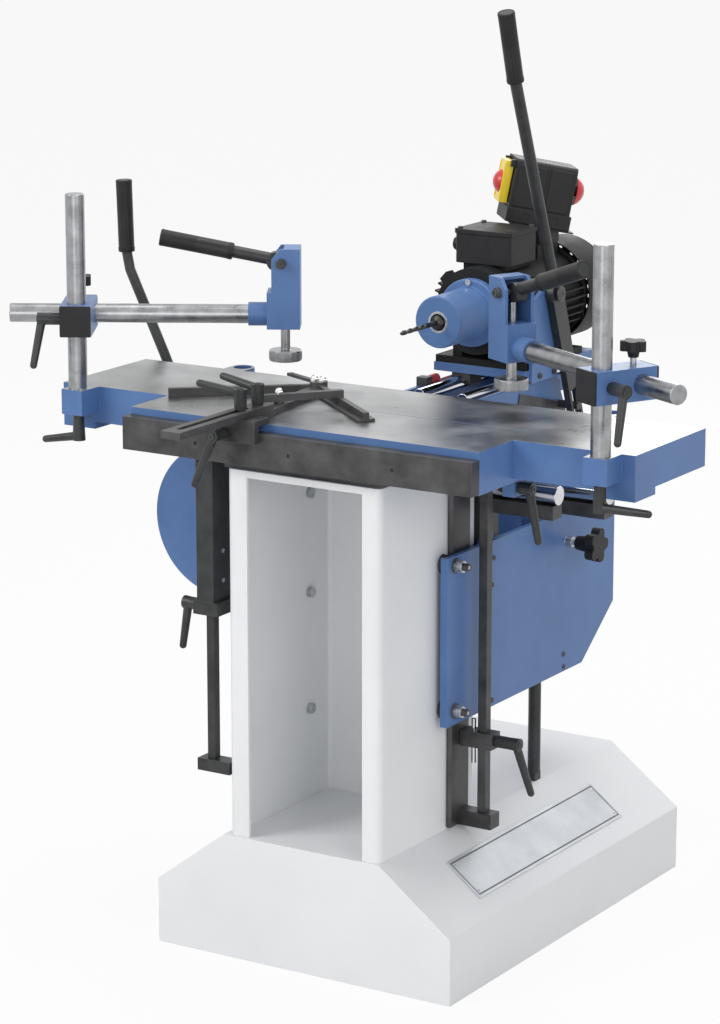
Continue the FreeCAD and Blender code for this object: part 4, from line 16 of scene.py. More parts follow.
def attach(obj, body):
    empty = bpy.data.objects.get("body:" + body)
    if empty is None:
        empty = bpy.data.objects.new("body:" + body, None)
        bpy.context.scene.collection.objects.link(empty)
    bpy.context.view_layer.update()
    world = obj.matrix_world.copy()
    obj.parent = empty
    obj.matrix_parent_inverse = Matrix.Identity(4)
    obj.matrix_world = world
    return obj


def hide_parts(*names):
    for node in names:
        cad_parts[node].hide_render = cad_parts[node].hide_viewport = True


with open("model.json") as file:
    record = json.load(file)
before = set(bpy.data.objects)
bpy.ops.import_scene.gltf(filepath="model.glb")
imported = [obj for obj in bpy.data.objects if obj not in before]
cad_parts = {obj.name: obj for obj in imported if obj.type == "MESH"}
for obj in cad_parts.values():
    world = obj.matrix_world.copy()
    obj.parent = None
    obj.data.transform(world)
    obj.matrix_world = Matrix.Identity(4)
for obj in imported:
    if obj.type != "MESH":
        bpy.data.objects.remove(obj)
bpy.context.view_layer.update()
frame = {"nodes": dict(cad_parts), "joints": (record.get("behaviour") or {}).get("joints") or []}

MM = 0.001
# Corners of one solid that lie nearer than this are the same corner.
WELD_MM = 0.002
# Mean width from which a flat face is shaded straight.
BROAD_MM = 12.0
# Angles in degrees: the least turn that is rounded, the most that counts as flat, and the most that
# a turned piece shades smooth.
EDGE_TURN = 32.0
FLAT_TURN = 0.4
TURNED_CREASE = 35.0
# Radius of the slip-on hand grips in millimetres.
GRIP_RADIUS = 14.5
log = logging.getLogger("mortiser")

Pick = Callable[[Vector, Vector], int]


# Small tools

def linear(code: str) -> tuple[float, float, float, float]:
    """Turn an sRGB hex colour into the linear colour that shaders use.

    Args:
        code: Six hex digits, with or without a leading hash.

    Returns:
        Red, green, blue and an alpha of one.
    """
    parts = []
    digits = code.lstrip("#")
    for start in (0, 2, 4):
        value = int(digits[start:start + 2], 16) / 255
        parts.append(value / 12.92 if value <= 0.04045 else ((value + 0.055) / 1.055) ** 2.4)
    return parts[0], parts[1], parts[2], 1.0


def add_node(tree: NodeTree, kind: str, settings: dict | None = None,
             inputs: dict | None = None) -> Node:
    """Add one node to a tree, with its settings, values and links.

    Args:
        tree: The shader or geometry tree that gets the node.
        kind: Blender's name of the node type.
        settings: Properties of the node by name.
        inputs: Values or output sockets by the input's name or number.

    Returns:
        The new node.
    """
    made = tree.nodes.new(kind)
    for name, value in (settings or {}).items():
        setattr(made, name, value)
    for key, value in (inputs or {}).items():
        if isinstance(value, NodeSocket):
            tree.links.new(value, made.inputs[key])
        else:
            made.inputs[key].default_value = value
    return made


def keep_object(name: str, mesh: Mesh) -> Object:
    """Put a mesh into the scene as an object at the origin.

    Args:
        name: Name of the piece.
        mesh: Its mesh, already in place.

    Returns:
        The linked object.
    """
    piece = bpy.data.objects.new(name, mesh)
    bpy.context.scene.collection.objects.link(piece)
    return piece


def flatten(piece: Object) -> None:
    """Turn a piece's modifiers into plain mesh.

    Args:
        piece: The object whose mesh is replaced by its final one.
    """
    graph = bpy.context.evaluated_depsgraph_get()
    mesh = bpy.data.meshes.new_from_object(piece.evaluated_get(graph), preserve_all_data_layers=True,
                                           depsgraph=graph)
    old = piece.data
    piece.modifiers.clear()
    piece.data = mesh
    bpy.data.meshes.remove(old)


def settle(piece: Object, crease: float = 50.0) -> Object:
    """Make a piece plain mesh, smooth up to a crease angle, with flat faces that look flat.

    Args:
        piece: The object to settle.
        crease: Angle in degrees past which an edge stays sharp.

    Returns:
        The same object with its final mesh.
    """
    flatten(piece)
    piece.data.shade_smooth()
    piece.data.set_sharp_from_angle(angle=math.radians(crease))
    weights = piece.modifiers.new("flat faces", "WEIGHTED_NORMAL")
    weights.keep_sharp = True
    flatten(piece)
    straighten(piece.data, math.cos(math.radians(crease)))
    return piece


def straighten(mesh: Mesh, limit: float) -> None:
    """Shade each broad flat face straight, and let the rounded edges beside it follow.

    Args:
        mesh: The mesh whose shading is set.
        limit: Cosine of the angle past which a face doesn't follow its broad neighbour.
    """
    broad: dict[int, list[Vector]] = {}
    flats = set()
    for face in mesh.polygons:
        spots = [mesh.vertices[index].co for index in face.vertices]
        rim = sum((spots[index] - spots[index - 1]).length for index in range(len(spots)))
        if 2 * face.area > BROAD_MM * MM * rim:
            flats.add(face.index)
            for index in face.vertices:
                broad.setdefault(index, []).append(face.normal.copy())
    if not flats:
        return
    normals = [corner.vector.copy() for corner in mesh.corner_normals]
    for face in mesh.polygons:
        for corner, index in zip(face.loop_indices, face.vertices):
            if face.index in flats:
                normals[corner] = face.normal.copy()
            elif index in broad:
                near = max(broad[index], key=face.normal.dot)
                if near.dot(face.normal) > limit:
                    normals[corner] = near
    mesh.normals_split_custom_set(normals)


def fresh_tree(owner: Material | World) -> NodeTree:
    """Give a material or a world an empty shader tree.

    Args:
        owner: The material or world.

    Returns:
        Its emptied tree.
    """
    owner.use_nodes = True
    owner.node_tree.nodes.clear()
    return owner.node_tree


def fit(piece: Object, body: str, slot: str, *nodes: str) -> Object:
    """Let a piece ride on its body and stand for nodes.

    Args:
        piece: The finished piece.
        body: Name of the body that carries it.
        slot: Name of the record's material slot; not used.
        nodes: Nodes of the frame that it replaces.

    Returns:
        The same piece.
    """
    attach(piece, body)
    if nodes:
        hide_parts(*nodes)
    log.info("%s rides on %s", piece.name, body)
    return piece


def aimed(origin: Vector, axis: Vector, ahead: Vector | None = None) -> Matrix:
    """Give the matrix that puts local z along an axis at an origin.

    Args:
        origin: Place of the local origin, in metres.
        axis: Direction of local z.
        ahead: Direction that local x leans to, or None for any.

    Returns:
        The placing matrix.
    """
    up = axis.normalized()
    lean = ahead if ahead is not None else Vector((0, 0, 1)) if abs(up.z) < 0.9 else Vector((1, 0, 0))
    side = up.cross(lean).normalized()
    front = side.cross(up)
    turn = Matrix((front, side, up)).transposed().to_4x4()
    return Matrix.Translation(origin) @ turn


def cast(name: str, shape: BMesh, *finishes: Material) -> Object:
    """Turn a shape into an object with its finishes, and free the shape.

    Args:
        name: Name of the piece.
        shape: The shape, already in place.
        finishes: Its materials, in the order of their numbers on the faces.

    Returns:
        The new object.
    """
    mesh = bpy.data.meshes.new(name)
    shape.to_mesh(mesh)
    shape.free()
    for finish in finishes:
        mesh.materials.append(finish)
    return keep_object(name, mesh)


def stitch(shape: BMesh, rings: Sequence[Sequence[BMVert]]) -> None:
    """Join rings of corners into a skin, where a ring of one corner is a pole.

    Args:
        shape: The shape that holds the corners.
        rings: The rings in order.
    """
    for low, high in zip(rings, rings[1:]):
        steps = max(len(low), len(high))
        for index in range(steps):
            after = (index + 1) % steps
            if len(low) == 1:
                shape.faces.new((low[0], high[after], high[index]))
            elif len(high) == 1:
                shape.faces.new((low[index], low[after], high[0]))
            else:
                shape.faces.new((low[index], low[after], high[after], high[index]))


def lathe(name: str, profile: Sequence[tuple[float, float]], place: Matrix, finish: Material,
          steps: int = 48) -> Object:
    """Turn a profile about local z into a closed piece.

    Args:
        name: Name of the piece.
        profile: Radius and height pairs in millimetres, from one pole to the other.
        place: Matrix that puts the turned shape in place.
        finish: Material of the piece.
        steps: Number of facets round the axis.

    Returns:
        The turned piece.
    """
    shape = bmesh.new()
    rings = []
    for radius, height in profile:
        if radius <= 0:
            rings.append([shape.verts.new((0, 0, height * MM))])
            continue
        ring = []
        for index in range(steps):
            angle = 2 * math.pi * index / steps
            x, y = radius * MM * math.cos(angle), radius * MM * math.sin(angle)
            ring.append(shape.verts.new((x, y, height * MM)))
        rings.append(ring)
    stitch(shape, rings)
    bmesh.ops.recalc_face_normals(shape, faces=shape.faces)
    shape.transform(place)
    return settle(cast(name, shape, finish), TURNED_CREASE)


def slab(name: str, low: Sequence[float], high: Sequence[float], place: Matrix, finish: Material,
         edge: float = 0.8) -> Object:
    """Make a block with rounded edges between two local corners.

    Args:
        name: Name of the piece.
        low: Lowest corner in millimetres.
        high: Highest corner in millimetres.
        place: Matrix that puts the block in place.
        finish: Material of the piece.
        edge: Radius of its edges in millimetres.

    Returns:
        The block.
    """
    shape = bmesh.new()
    bmesh.ops.create_cube(shape, size=1.0)
    for vert in shape.verts:
        for axis in range(3):
            middle = (low[axis] + high[axis]) / 2
            vert.co[axis] = (middle + vert.co[axis] * (high[axis] - low[axis])) * MM
    shape.transform(place)
    piece = cast(name, shape, finish)
    round_edges(piece, edge, 3)
    return settle(piece)


def hand_grip(name: str, body: str, start: Vector, end: Vector, finish: Material) -> None:
    """Slip a grip over the end of a lever, with its rounded mouth, smooth flank and ringed flat end.

    Args:
        name: Name of the piece.
        body: Name of the body that carries it.
        start: Mouth of the grip, in millimetres.
        end: Its closed end.
        finish: Material of the grip.
    """
    length, r = (end - start).length, GRIP_RADIUS
    profile = [
        (0, -0.6), (r - 2.2, -0.6), (r - 0.6, 0.2), (r, 1.8), (r, 7), (r - 0.5, 9), (r - 0.5, length * 0.5),
        (r - 0.3, length - 6), (r, length - 3.4), (r, length - 1.6), (r - 0.6, length - 0.3),
        (r - 1.8, length + 0.5), (r - 3.0, length + 0.4), (r - 3.6, length - 0.7), (r - 4.4, length - 0.9),
        (0, length - 0.9)]
    fit(lathe(name, profile, aimed(start * MM, end - start), finish, 56), body, "black_plastic")


def round_edges(piece: Object, edge: float, segments: int) -> None:
    """Round the edges of a piece.

    Args:
        piece: The object to round.
        edge: Width of the rounding in millimetres.
        segments: Number of steps across each edge.
    """
    bevel = piece.modifiers.new("edges", "BEVEL")
    bevel.width = edge * MM
    bevel.segments = segments
    bevel.limit_method = "ANGLE"
    bevel.angle_limit = math.radians(EDGE_TURN)
    bevel.use_clamp_overlap = True


def fuse(piece: Object) -> None:
    """Join the touching solids of a piece, so that no seam shows between them.

    Args:
        piece: The object whose mesh is made one skin.
    """
    join = piece.modifiers.new("one skin", "BOOLEAN")
    join.operation = "UNION"
    join.solver = "EXACT"
    join.operand_type = "COLLECTION"
    join.use_self = True
    flatten(piece)


def closed_solids(mesh: Mesh) -> BMesh:
    """Copy a node's loose triangles as closed solids that share no corner with each other.

    Args:
        mesh: The node's mesh, with one solid's triangles after the other's.

    Returns:
        The new shape, to be freed by the caller.
    """
    loose = bmesh.new()
    loose.from_mesh(mesh)
    same = bmesh.ops.find_doubles(loose, verts=loose.verts, dist=WELD_MM * MM)["targetmap"]
    shape = bmesh.new()
    corners: dict[BMVert, BMVert] = {}
    waiting: dict[tuple, int] = {}
    for face in loose.faces:
        spots = [same.get(vert, vert) for vert in face.verts]
        if len(set(spots)) < len(spots):
            continue
        for spot in spots:
            if spot not in corners:
                corners[spot] = shape.verts.new(spot.co)
        shape.faces.new([corners[spot] for spot in spots])
        for start, end in zip(spots, spots[1:] + spots[:1]):
            if waiting.get((end, start), 0) > 0:
                waiting[end, start] -= 1
                if waiting[end, start] == 0:
                    del waiting[end, start]
            else:
                waiting[start, end] = waiting.get((start, end), 0) + 1
        if not waiting:
            corners.clear()
    loose.free()
    shape.normal_update()
    return shape


def merge_flats(piece: Object) -> None:
    """Make each flat face of a piece one polygon.

    Args:
        piece: The object whose mesh is changed.
    """
    shape = bmesh.new()
    shape.from_mesh(piece.data)
    bmesh.ops.dissolve_limit(shape, angle_limit=math.radians(FLAT_TURN), verts=shape.verts, edges=shape.edges,
                             delimit={"MATERIAL"})
    shape.to_mesh(piece.data)
    shape.free()


# Finishes

class Metalness(Enum):
    """How much of a surface is bare metal."""

    NONE = 0.0
    SKIN = 0.45
    FULL = 1.0


class Lay(Enum):
    """Direction that a machined surface was worked in, as stretch factors of its marks."""

    ALONG_X = (0.04, 1.0, 1.0)
    ALONG_Y = (1.0, 0.04, 1.0)
    EVEN = (1.0, 1.0, 1.0)


@dataclass(frozen=True)
class Finish:
    """One surface finish, from its base colour to its finest grain."""

    name: str
    colour: str
    second: str
    metal: Metalness
    roughness: float
    spread: float
    cloud_mm: float
    grain_mm: float
    grain_depth_mm: float
    lay: Lay = Lay.EVEN
    edge_mm: float = 0.5
    # Colour and share of the pale corners: worn paint on the dark finishes, a painted highlight on the blue
    # enamel.
    worn: str = ""
    wear: float = 0.0
    coat: float = 0.0
    shine: float = 0.5

    def build(self) -> Material:
        """Make the material of this finish.

        Returns:
            The material, ready to be assigned.
        """
        made = bpy.data.materials.new(self.name)
        tree = fresh_tree(made)
        where = add_node(tree, "ShaderNodeTexCoord").outputs["Object"]
        stretched = add_node(tree, "ShaderNodeMapping", {}, {"Vector": where, "Scale": self.lay.value})
        # Wide soft clouds vary colour and gloss, and a fine grain along the lay gives the bump.
        cloud = add_node(tree, "ShaderNodeTexNoise", {}, {
            "Vector": where, "Scale": 1 / (self.cloud_mm * MM), "Detail": 5.0, "Roughness": 0.6})
        grain = add_node(tree, "ShaderNodeTexNoise", {}, {
            "Vector": stretched.outputs["Vector"], "Scale": 1 / (self.grain_mm * MM), "Detail": 3.0,
            "Roughness": 0.55})
        patches = add_node(tree, "ShaderNodeMapRange", {}, {
            "Value": cloud.outputs["Fac"], "From Min": 0.35, "From Max": 0.65})
        colour = add_node(tree, "ShaderNodeMix", {"data_type": "RGBA"}, {
            0: patches.outputs["Result"], 6: linear(self.colour), 7: linear(self.second)}).outputs[2]
        rough = add_node(tree, "ShaderNodeMapRange", {}, {
            "Value": cloud.outputs["Fac"], "From Min": 0.3, "From Max": 0.7,
            "To Min": max(self.roughness - self.spread, 0.03),
            "To Max": min(self.roughness + self.spread, 1.0)})
        # The bevel node rounds the shading at corners, where paint wears through first and where the blue
        # enamel gets a painted highlight.
        edge = add_node(tree, "ShaderNodeBevel", {"samples": 4}, {"Radius": self.edge_mm * MM})
        bump = add_node(tree, "ShaderNodeBump", {}, {
            "Strength": 1.0, "Distance": self.grain_depth_mm * MM, "Height": grain.outputs["Fac"],
            "Normal": edge.outputs["Normal"]})
        # Pale corners: worn paint, and on the blue enamel a painted highlight.
        if self.wear > 0:
            colour = self.worn_edges(tree, colour, edge, grain)
        shader = add_node(tree, "ShaderNodeBsdfPrincipled", {}, {
            "Base Color": colour, "Roughness": rough.outputs["Result"], "Metallic": self.metal.value,
            "Specular IOR Level": self.shine, "Coat Weight": self.coat, "Coat Roughness": 0.15,
            "Normal": bump.outputs["Normal"]})
        add_node(tree, "ShaderNodeOutputMaterial", {}, {"Surface": shader.outputs["BSDF"]})
        return made

    def worn_edges(self, tree: NodeTree, colour: NodeSocket, edge: Node,
                   grain: Node) -> NodeSocket:
        """Lighten the colour at the corners: rubbed paint on the dark finishes and a painted highlight on the
        blue enamel.

        Args:
            tree: The material's tree.
            colour: The colour before the pale corners.
            edge: The node that rounds the shading at corners.
            grain: The node with the fine grain, which breaks up the wear and the painted highlight.

        Returns:
            The colour with worn corners and, on the blue enamel, painted-highlight corners.
        """
        face = add_node(tree, "ShaderNodeNewGeometry").outputs["Normal"]
        along = add_node(tree, "ShaderNodeVectorMath", {"operation": "DOT_PRODUCT"}, {
            0: edge.outputs["Normal"], 1: face}).outputs["Value"]
        corner = add_node(tree, "ShaderNodeMapRange", {}, {
            "Value": along, "From Min": 0.995, "From Max": 0.93, "To Min": 0.0, "To Max": self.wear})
        broken = add_node(tree, "ShaderNodeMapRange", {}, {
            "Value": grain.outputs["Fac"], "From Min": 0.42, "From Max": 0.62, "To Min": 0.3, "To Max": 1.0})
        mask = add_node(tree, "ShaderNodeMath", {"operation": "MULTIPLY"}, {
            0: corner.outputs["Result"], 1: broken.outputs["Result"]}).outputs["Value"]
        return add_node(tree, "ShaderNodeMix", {"data_type": "RGBA"}, {
            0: mask, 6: colour, 7: linear(self.worn)}).outputs[2]


def built(*values: object, **options: object) -> Material:
    """Let a field of a dataclass hold the built material of a finish with these values."""
    return field(default_factory=Finish(*values, **options).build)


@dataclass(frozen=True)
class Finishes:
    """All finishes of the machine, each built once."""

    # Two-pack machine enamel over cast iron: even blue, soft gloss and a faint peel, with its corners painted
    # a paler blue as a highlight.
    blue: Material = built(
        "blue machine enamel", "#4e6fa2", "#587aad", Metalness.NONE, 0.42, 0.05, 120.0, 2.2, 0.05,
        edge_mm=0.9, worn="#8ba6cf", wear=0.55, coat=0.08, shine=0.35)
    # Fine texture powder coat on folded sheet: light grey, matt, pimpled every millimetre or so.
    grey: Material = built(
        "light grey powder coat", "#e4e6e8", "#eaebed", Metalness.NONE, 0.55, 0.05, 260.0, 1.6, 0.06,
        edge_mm=1.6)
    # Surface-ground grey iron: long fine grinding marks along the table, and wide hazy darker and lighter
    # clouds that are painted reflection, standing for the uneven sheen across the top.
    ground: Material = built(
        "ground grey iron", "#7a7b7c", "#adaeaf", Metalness.FULL, 0.34, 0.10, 150.0, 1.2, 0.012,
        Lay.ALONG_X, edge_mm=0.4)
    # Cold-drawn round bar: bright with darker bands and patches from the drawing die.
    bar: Material = built(
        "cold-drawn bright steel", "#8b8c8e", "#a9aaac", Metalness.FULL, 0.30, 0.06, 30.0, 1.5, 0.012,
        edge_mm=0.8)
    # Hard chrome on a ground guide bar: near mirror, with the grinding still faintly felt.
    chrome: Material = built(
        "hard-chromed guide bar", "#c9cbce", "#dfe0e2", Metalness.FULL, 0.14, 0.05, 60.0, 0.9, 0.003,
        Lay.ALONG_X, edge_mm=0.8)
    # Blackened flat steel: dark grey skin with mill clouds and rubbed, paler corners.
    black_steel: Material = built(
        "blackened steel", "#383839", "#555556", Metalness.SKIN, 0.46, 0.10, 60.0, 1.6, 0.03,
        edge_mm=0.6, worn="#8f8f90", wear=0.7)
    # Black stove enamel on levers: smooth, half gloss.
    black_paint: Material = built(
        "black stove enamel", "#222324", "#343536", Metalness.NONE, 0.40, 0.08, 34.0, 1.8, 0.02,
        edge_mm=0.6, worn="#6a6a6b", wear=0.4, coat=0.05, shine=0.4)
    # Moulded nylon of knobs and caps: matt black with a fine spark-eroded grain.
    plastic: Material = built(
        "black moulded nylon", "#18181a", "#222224", Metalness.NONE, 0.50, 0.06, 30.0, 0.9, 0.03,
        edge_mm=0.8, shine=0.3)
    # PVC hand grip: dark, even and a little greasy, with a soft sheen.
    grip: Material = built(
        "black PVC grip", "#1a1a1b", "#232324", Metalness.NONE, 0.48, 0.06, 24.0, 1.4, 0.03,
        edge_mm=0.6, shine=0.28)
    # Motor housing: thin black paint over a sand-cast skin, so the skin shows through.
    motor: Material = built(
        "black paint on cast housing", "#151617", "#1f2021", Metalness.NONE, 0.58, 0.08, 40.0, 2.4, 0.10,
        edge_mm=0.6, worn="#4a4b4d", wear=0.3, shine=0.22)
    # Zinc-plated fastener: cool grey and softly bright.
    zinc: Material = built(
        "zinc-plated steel", "#a9abae", "#c3c5c8", Metalness.FULL, 0.30, 0.08, 12.0, 0.7, 0.01,
        edge_mm=0.3)
    # Nickel on small nuts: warm and mirror-like.
    nickel: Material = built(
        "nickel-plated steel", "#d2d0cb", "#dedcd8", Metalness.FULL, 0.12, 0.04, 14.0, 0.8, 0.004,
        edge_mm=0.3)
    # Yellow polycarbonate flap: clear bright colour with a gloss.
    yellow: Material = built(
        "yellow polycarbonate", "#efd011", "#f4d92a", Metalness.NONE, 0.28, 0.04, 30.0, 1.2, 0.01,
        edge_mm=0.8, coat=0.2)
    # Red ABS of buttons: strong colour, slightly dulled by fingers.
    red: Material = built(
        "red ABS", "#c3262b", "#cf3338", Metalness.NONE, 0.30, 0.06, 18.0, 1.0, 0.01,
        edge_mm=0.8, coat=0.2)
    # Red rubber of the buffer: dull and slightly bloomed.
    buffer: Material = built(
        "red rubber", "#a8323a", "#b8454c", Metalness.NONE, 0.62, 0.08, 10.0, 0.9, 0.05,
        edge_mm=1.0)
    # Anodised plate: fine brushing along its length, pale and matt.
    plate: Material = built(
        "brushed anodised aluminium", "#b9bcc0", "#c9ccd0", Metalness.FULL, 0.42, 0.06, 80.0, 0.8, 0.01,
        Lay.ALONG_Y, edge_mm=0.3)
    # Border of the plate: dark anodised line with the same brushing.
    border: Material = built(
        "dark anodised aluminium", "#54585e", "#5f636a", Metalness.SKIN, 0.45, 0.06, 80.0, 0.8, 0.01,
        Lay.ALONG_Y, edge_mm=0.3)
    # High-speed steel: dark, straw-tinted, and ground bright in the flutes.
    tool: Material = built(
        "high-speed tool steel", "#3b3a38", "#57544f", Metalness.FULL, 0.30, 0.08, 12.0, 0.6, 0.01,
        edge_mm=0.2)


# Geometry node trees

class Tree:
    """A geometry tree with named inputs that makes one kind of repeated part."""

    def __init__(self, name: str, inputs: Sequence[tuple[str, str]]) -> None:
        """Open the tree and its sockets.

        Args:
            name: Name of the tree.
            inputs: Names and socket types of its inputs.
        """
        self.tree = bpy.data.node_groups.new(name, "GeometryNodeTree")
        self.tree.is_modifier = True
        self.tree.interface.new_socket(name="Places", in_out="INPUT", socket_type="NodeSocketGeometry")
        for label, kind in inputs:
            self.tree.interface.new_socket(name=label, in_out="INPUT", socket_type=kind)
        self.tree.interface.new_socket(name="Parts", in_out="OUTPUT", socket_type="NodeSocketGeometry")
        self.given = add_node(self.tree, "NodeGroupInput").outputs

    def close(self, parts: NodeSocket) -> None:
        """Realise the parts, give them their material and end the tree.

        Args:
            parts: Socket with the instances.
        """
        real = add_node(self.tree, "GeometryNodeRealizeInstances", {}, {"Geometry": parts})
        dressed = add_node(self.tree, "GeometryNodeSetMaterial", {}, {
            "Geometry": real.outputs["Geometry"], "Material": self.given["Material"]})
        add_node(self.tree, "NodeGroupOutput", {}, {0: dressed.outputs["Geometry"]})

    def grow(self, name: str, points: Sequence[Vector], aims: Sequence[Vector], values: dict,
             place: Matrix | None = None) -> Object:
        """Run the tree over points and keep the result as plain mesh.

        Args:
            name: Name of the piece.
            points: Places of the parts, in metres.
            aims: Direction of each part.
            values: Values of the named inputs.
            place: Matrix applied to the result, or None.

        Returns:
            The finished piece.
        """
        mesh = bpy.data.meshes.new(name)
        mesh.from_pydata([tuple(point) for point in points], [], [])
        aim = mesh.attributes.new("aim", "FLOAT_VECTOR", "POINT")
        aim.data.foreach_set("vector", [part for direction in aims for part in direction.normalized()])
        piece = keep_object(name, mesh)
        maker = piece.modifiers.new("parts", "NODES")
        maker.node_group = self.tree
        for item in self.tree.interface.items_tree:
            if item.item_type == "SOCKET" and item.in_out == "INPUT" and item.name in values:
                maker[item.identifier] = values[item.name]
        settle(piece, EDGE_TURN)
        if place is not None:
            piece.data.transform(place)
        return piece


def screw_tree() -> Tree:
    """Build the tree of socket screws: a round head with a six-sided socket.

    Returns:
        The finished tree.
    """
    made = Tree("socket screws", [
        ("Head Radius", "NodeSocketFloat"), ("Head Height", "NodeSocketFloat"),
        ("Socket Radius", "NodeSocketFloat"), ("Socket Depth", "NodeSocketFloat"),
        ("Material", "NodeSocketMaterial")])
    tree, given = made.tree, made.given
    head = add_node(tree, "GeometryNodeMeshCylinder", {}, {
        "Vertices": 28, "Radius": given["Head Radius"], "Depth": given["Head Height"]})
    socket = add_node(tree, "GeometryNodeMeshCylinder", {}, {
        "Vertices": 6, "Radius": given["Socket Radius"], "Depth": given["Socket Depth"]})
    half = add_node(tree, "ShaderNodeMath", {"operation": "MULTIPLY"}, {0: given["Head Height"], 1: 0.5})
    lift = add_node(tree, "ShaderNodeCombineXYZ", {}, {"Z": half.outputs["Value"]})
    raised = add_node(tree, "GeometryNodeTransform", {}, {
        "Geometry": socket.outputs["Mesh"], "Translation": lift.outputs["Vector"]})
    cut = add_node(tree, "GeometryNodeMeshBoolean", {"operation": "DIFFERENCE"}, {
        "Mesh 1": head.outputs["Mesh"], "Mesh 2": raised.outputs["Geometry"]})
    seated = add_node(tree, "GeometryNodeTransform", {}, {
        "Geometry": cut.outputs["Mesh"], "Translation": lift.outputs["Vector"]})
    aim = add_node(tree, "GeometryNodeInputNamedAttribute", {"data_type": "FLOAT_VECTOR"}, {"Name": "aim"})
    turn = add_node(tree, "FunctionNodeAlignRotationToVector", {"axis": "Z"}, {
        "Vector": aim.outputs["Attribute"]})
    screws = add_node(tree, "GeometryNodeInstanceOnPoints", {}, {
        "Points": given["Places"], "Instance": seated.outputs["Geometry"],
        "Rotation": turn.outputs["Rotation"]})
    made.close(screws.outputs["Instances"])
    return made


def rib_tree() -> Tree:
    """Build the tree of a ring of ribs that stand round an axis, as on a knurl or a fluted hub.

    Returns:
        The finished tree.
    """
    made = Tree("ring of ribs", [
        ("Count", "NodeSocketInt"), ("Ring Radius", "NodeSocketFloat"), ("Rib Radius", "NodeSocketFloat"),
        ("Rib Length", "NodeSocketFloat"), ("Material", "NodeSocketMaterial")])
    tree, given = made.tree, made.given
    ring = add_node(tree, "GeometryNodeMeshCircle", {}, {
        "Vertices": given["Count"], "Radius": given["Ring Radius"]})
    rib = add_node(tree, "GeometryNodeMeshCylinder", {}, {
        "Vertices": 8, "Radius": given["Rib Radius"], "Depth": given["Rib Length"]})
    ribs = add_node(tree, "GeometryNodeInstanceOnPoints", {}, {
        "Points": ring.outputs["Mesh"], "Instance": rib.outputs["Mesh"]})
    made.close(ribs.outputs["Instances"])
    return made


@dataclass
class Shop:
    """What every sub-assembly builds with: finishes, trees and the frame's joints by name."""

    looks: Finishes
    screws: Tree
    ribs: Tree
    joints: dict[str, dict]
    socket_share: float = 0.52
    socket_depth_share: float = 1.1

    def screw_row(self, name: str, points: Sequence[Sequence[float]], aim: Vector, head: float, height: float,
                  finish: Material, socket: tuple[float, float] | None = None) -> Object:
        """Set equal socket screws at points in millimetres.

        Args:
            name: Name of the piece.
            points: Seats of the heads.
            aim: Direction that the heads face.
            head: Radius of a head.
            height: Height of a head.
            finish: Material of the screws.
            socket: Radius and depth of the socket's cutter, or None for the usual shares of the head.

        Returns:
            All screws as one piece.
        """
        places = [Vector(point) * MM for point in points]
        radius, depth = socket or (head * self.socket_share, height * self.socket_depth_share)
        return self.screws.grow(name, places, [aim] * len(places), {
            "Head Radius": head * MM, "Head Height": height * MM, "Socket Radius": radius * MM,
            "Socket Depth": depth * MM, "Material": finish})

    def rib_ring(self, name: str, count: int, radius: float, rib: float, length: float, place: Matrix,
                 finish: Material) -> Object:
        """Set a ring of ribs about an axis.

        Args:
            name: Name of the piece.
            count: Number of ribs.
            radius: Radius of the ring in millimetres.
            rib: Radius of one rib in millimetres.
            length: Length of the ribs in millimetres.
            place: Matrix of the ring's middle.
            finish: Material of the ribs.

        Returns:
            The ring as one piece.
        """
        return self.ribs.grow(name, [Vector()], [Vector((0, 0, 1))], {
            "Count": count, "Ring Radius": radius * MM, "Rib Radius": rib * MM, "Rib Length": length * MM,
            "Material": finish}, place)


def whole(centre: Vector, normal: Vector) -> int:
    """Give every face the first finish."""
    return 0


@dataclass
class Skin:
    """The skin of one node, dressed and with rounded edges; a pick below 0 leaves a face out."""

    node: str
    slot: str
    finishes: list[Material]
    pick: Pick = whole
    edge_mm: float = 0.7
    segments: int = 2
    fused: bool = False

    def build(self, body: str) -> Object:
        """Make the skin and let it stand for its node.

        Args:
            body: Name of the body that carries it.

        Returns:
            The finished skin.
        """
        shape = closed_solids(frame["nodes"][self.node].data)
        apart = []
        for face in shape.faces:
            choice = self.pick(face.calc_center_median() / MM, face.normal)
            face.material_index = max(choice, 0)
            if choice < 0:
                apart.append(face)
        bmesh.ops.delete(shape, geom=apart, context="FACES")
        piece = cast("skin_" + self.node, shape, *self.finishes)
        if self.fused:
            fuse(piece)
        merge_flats(piece)
        round_edges(piece, self.edge_mm, self.segments)
        settle(piece)
        return fit(piece, body, self.slot, self.node)


# Turned profiles, as radius and height in millimetres

RIVET = ((0, -0.4), (2.6, -0.4), (2.5, 0.4), (1.6, 1.1), (0, 1.4))
WASHER = ((0, 0), (12.4, 0), (12.8, 0.4), (12.8, 1.8), (12.2, 2.2), (0, 2.2))
COLLET_RING = ((0, 0), (4.4, 0), (6.0, 1.4), (10.4, 4.0), (11.6, 5.0), (11.6, 12.0), (0, 12.0))
NOSE_RIM = ((14.4, 0.6), (14.4, -0.6), (17.8, -0.9), (18.4, 0.0), (17.8, 0.6), (14.4, 0.6))
KNOCKOUT = ((7.0, -0.3), (7.0, 0.4), (8.0, 0.7), (8.6, 0.4), (8.6, -0.3), (7.0, -0.3))
BUTTON_COLLAR = ((9.6, 0), (15.5, 0), (15.5, 0.9), (14.9, 1.6), (9.6, 1.6), (9.6, 0))
PIVOT_CAP = ((0, 0), (13, 0), (13.5, 0.8), (13.5, 2.4), (11, 3.2), (6.2, 3.4), (5.6, 2.0), (0, 2.0))
LEVER_COLLAR = ((0, 0.1), (8.6, 0.1), (8.9, 0.5), (8.9, 2.2), (8.4, 2.6), (0, 2.6))
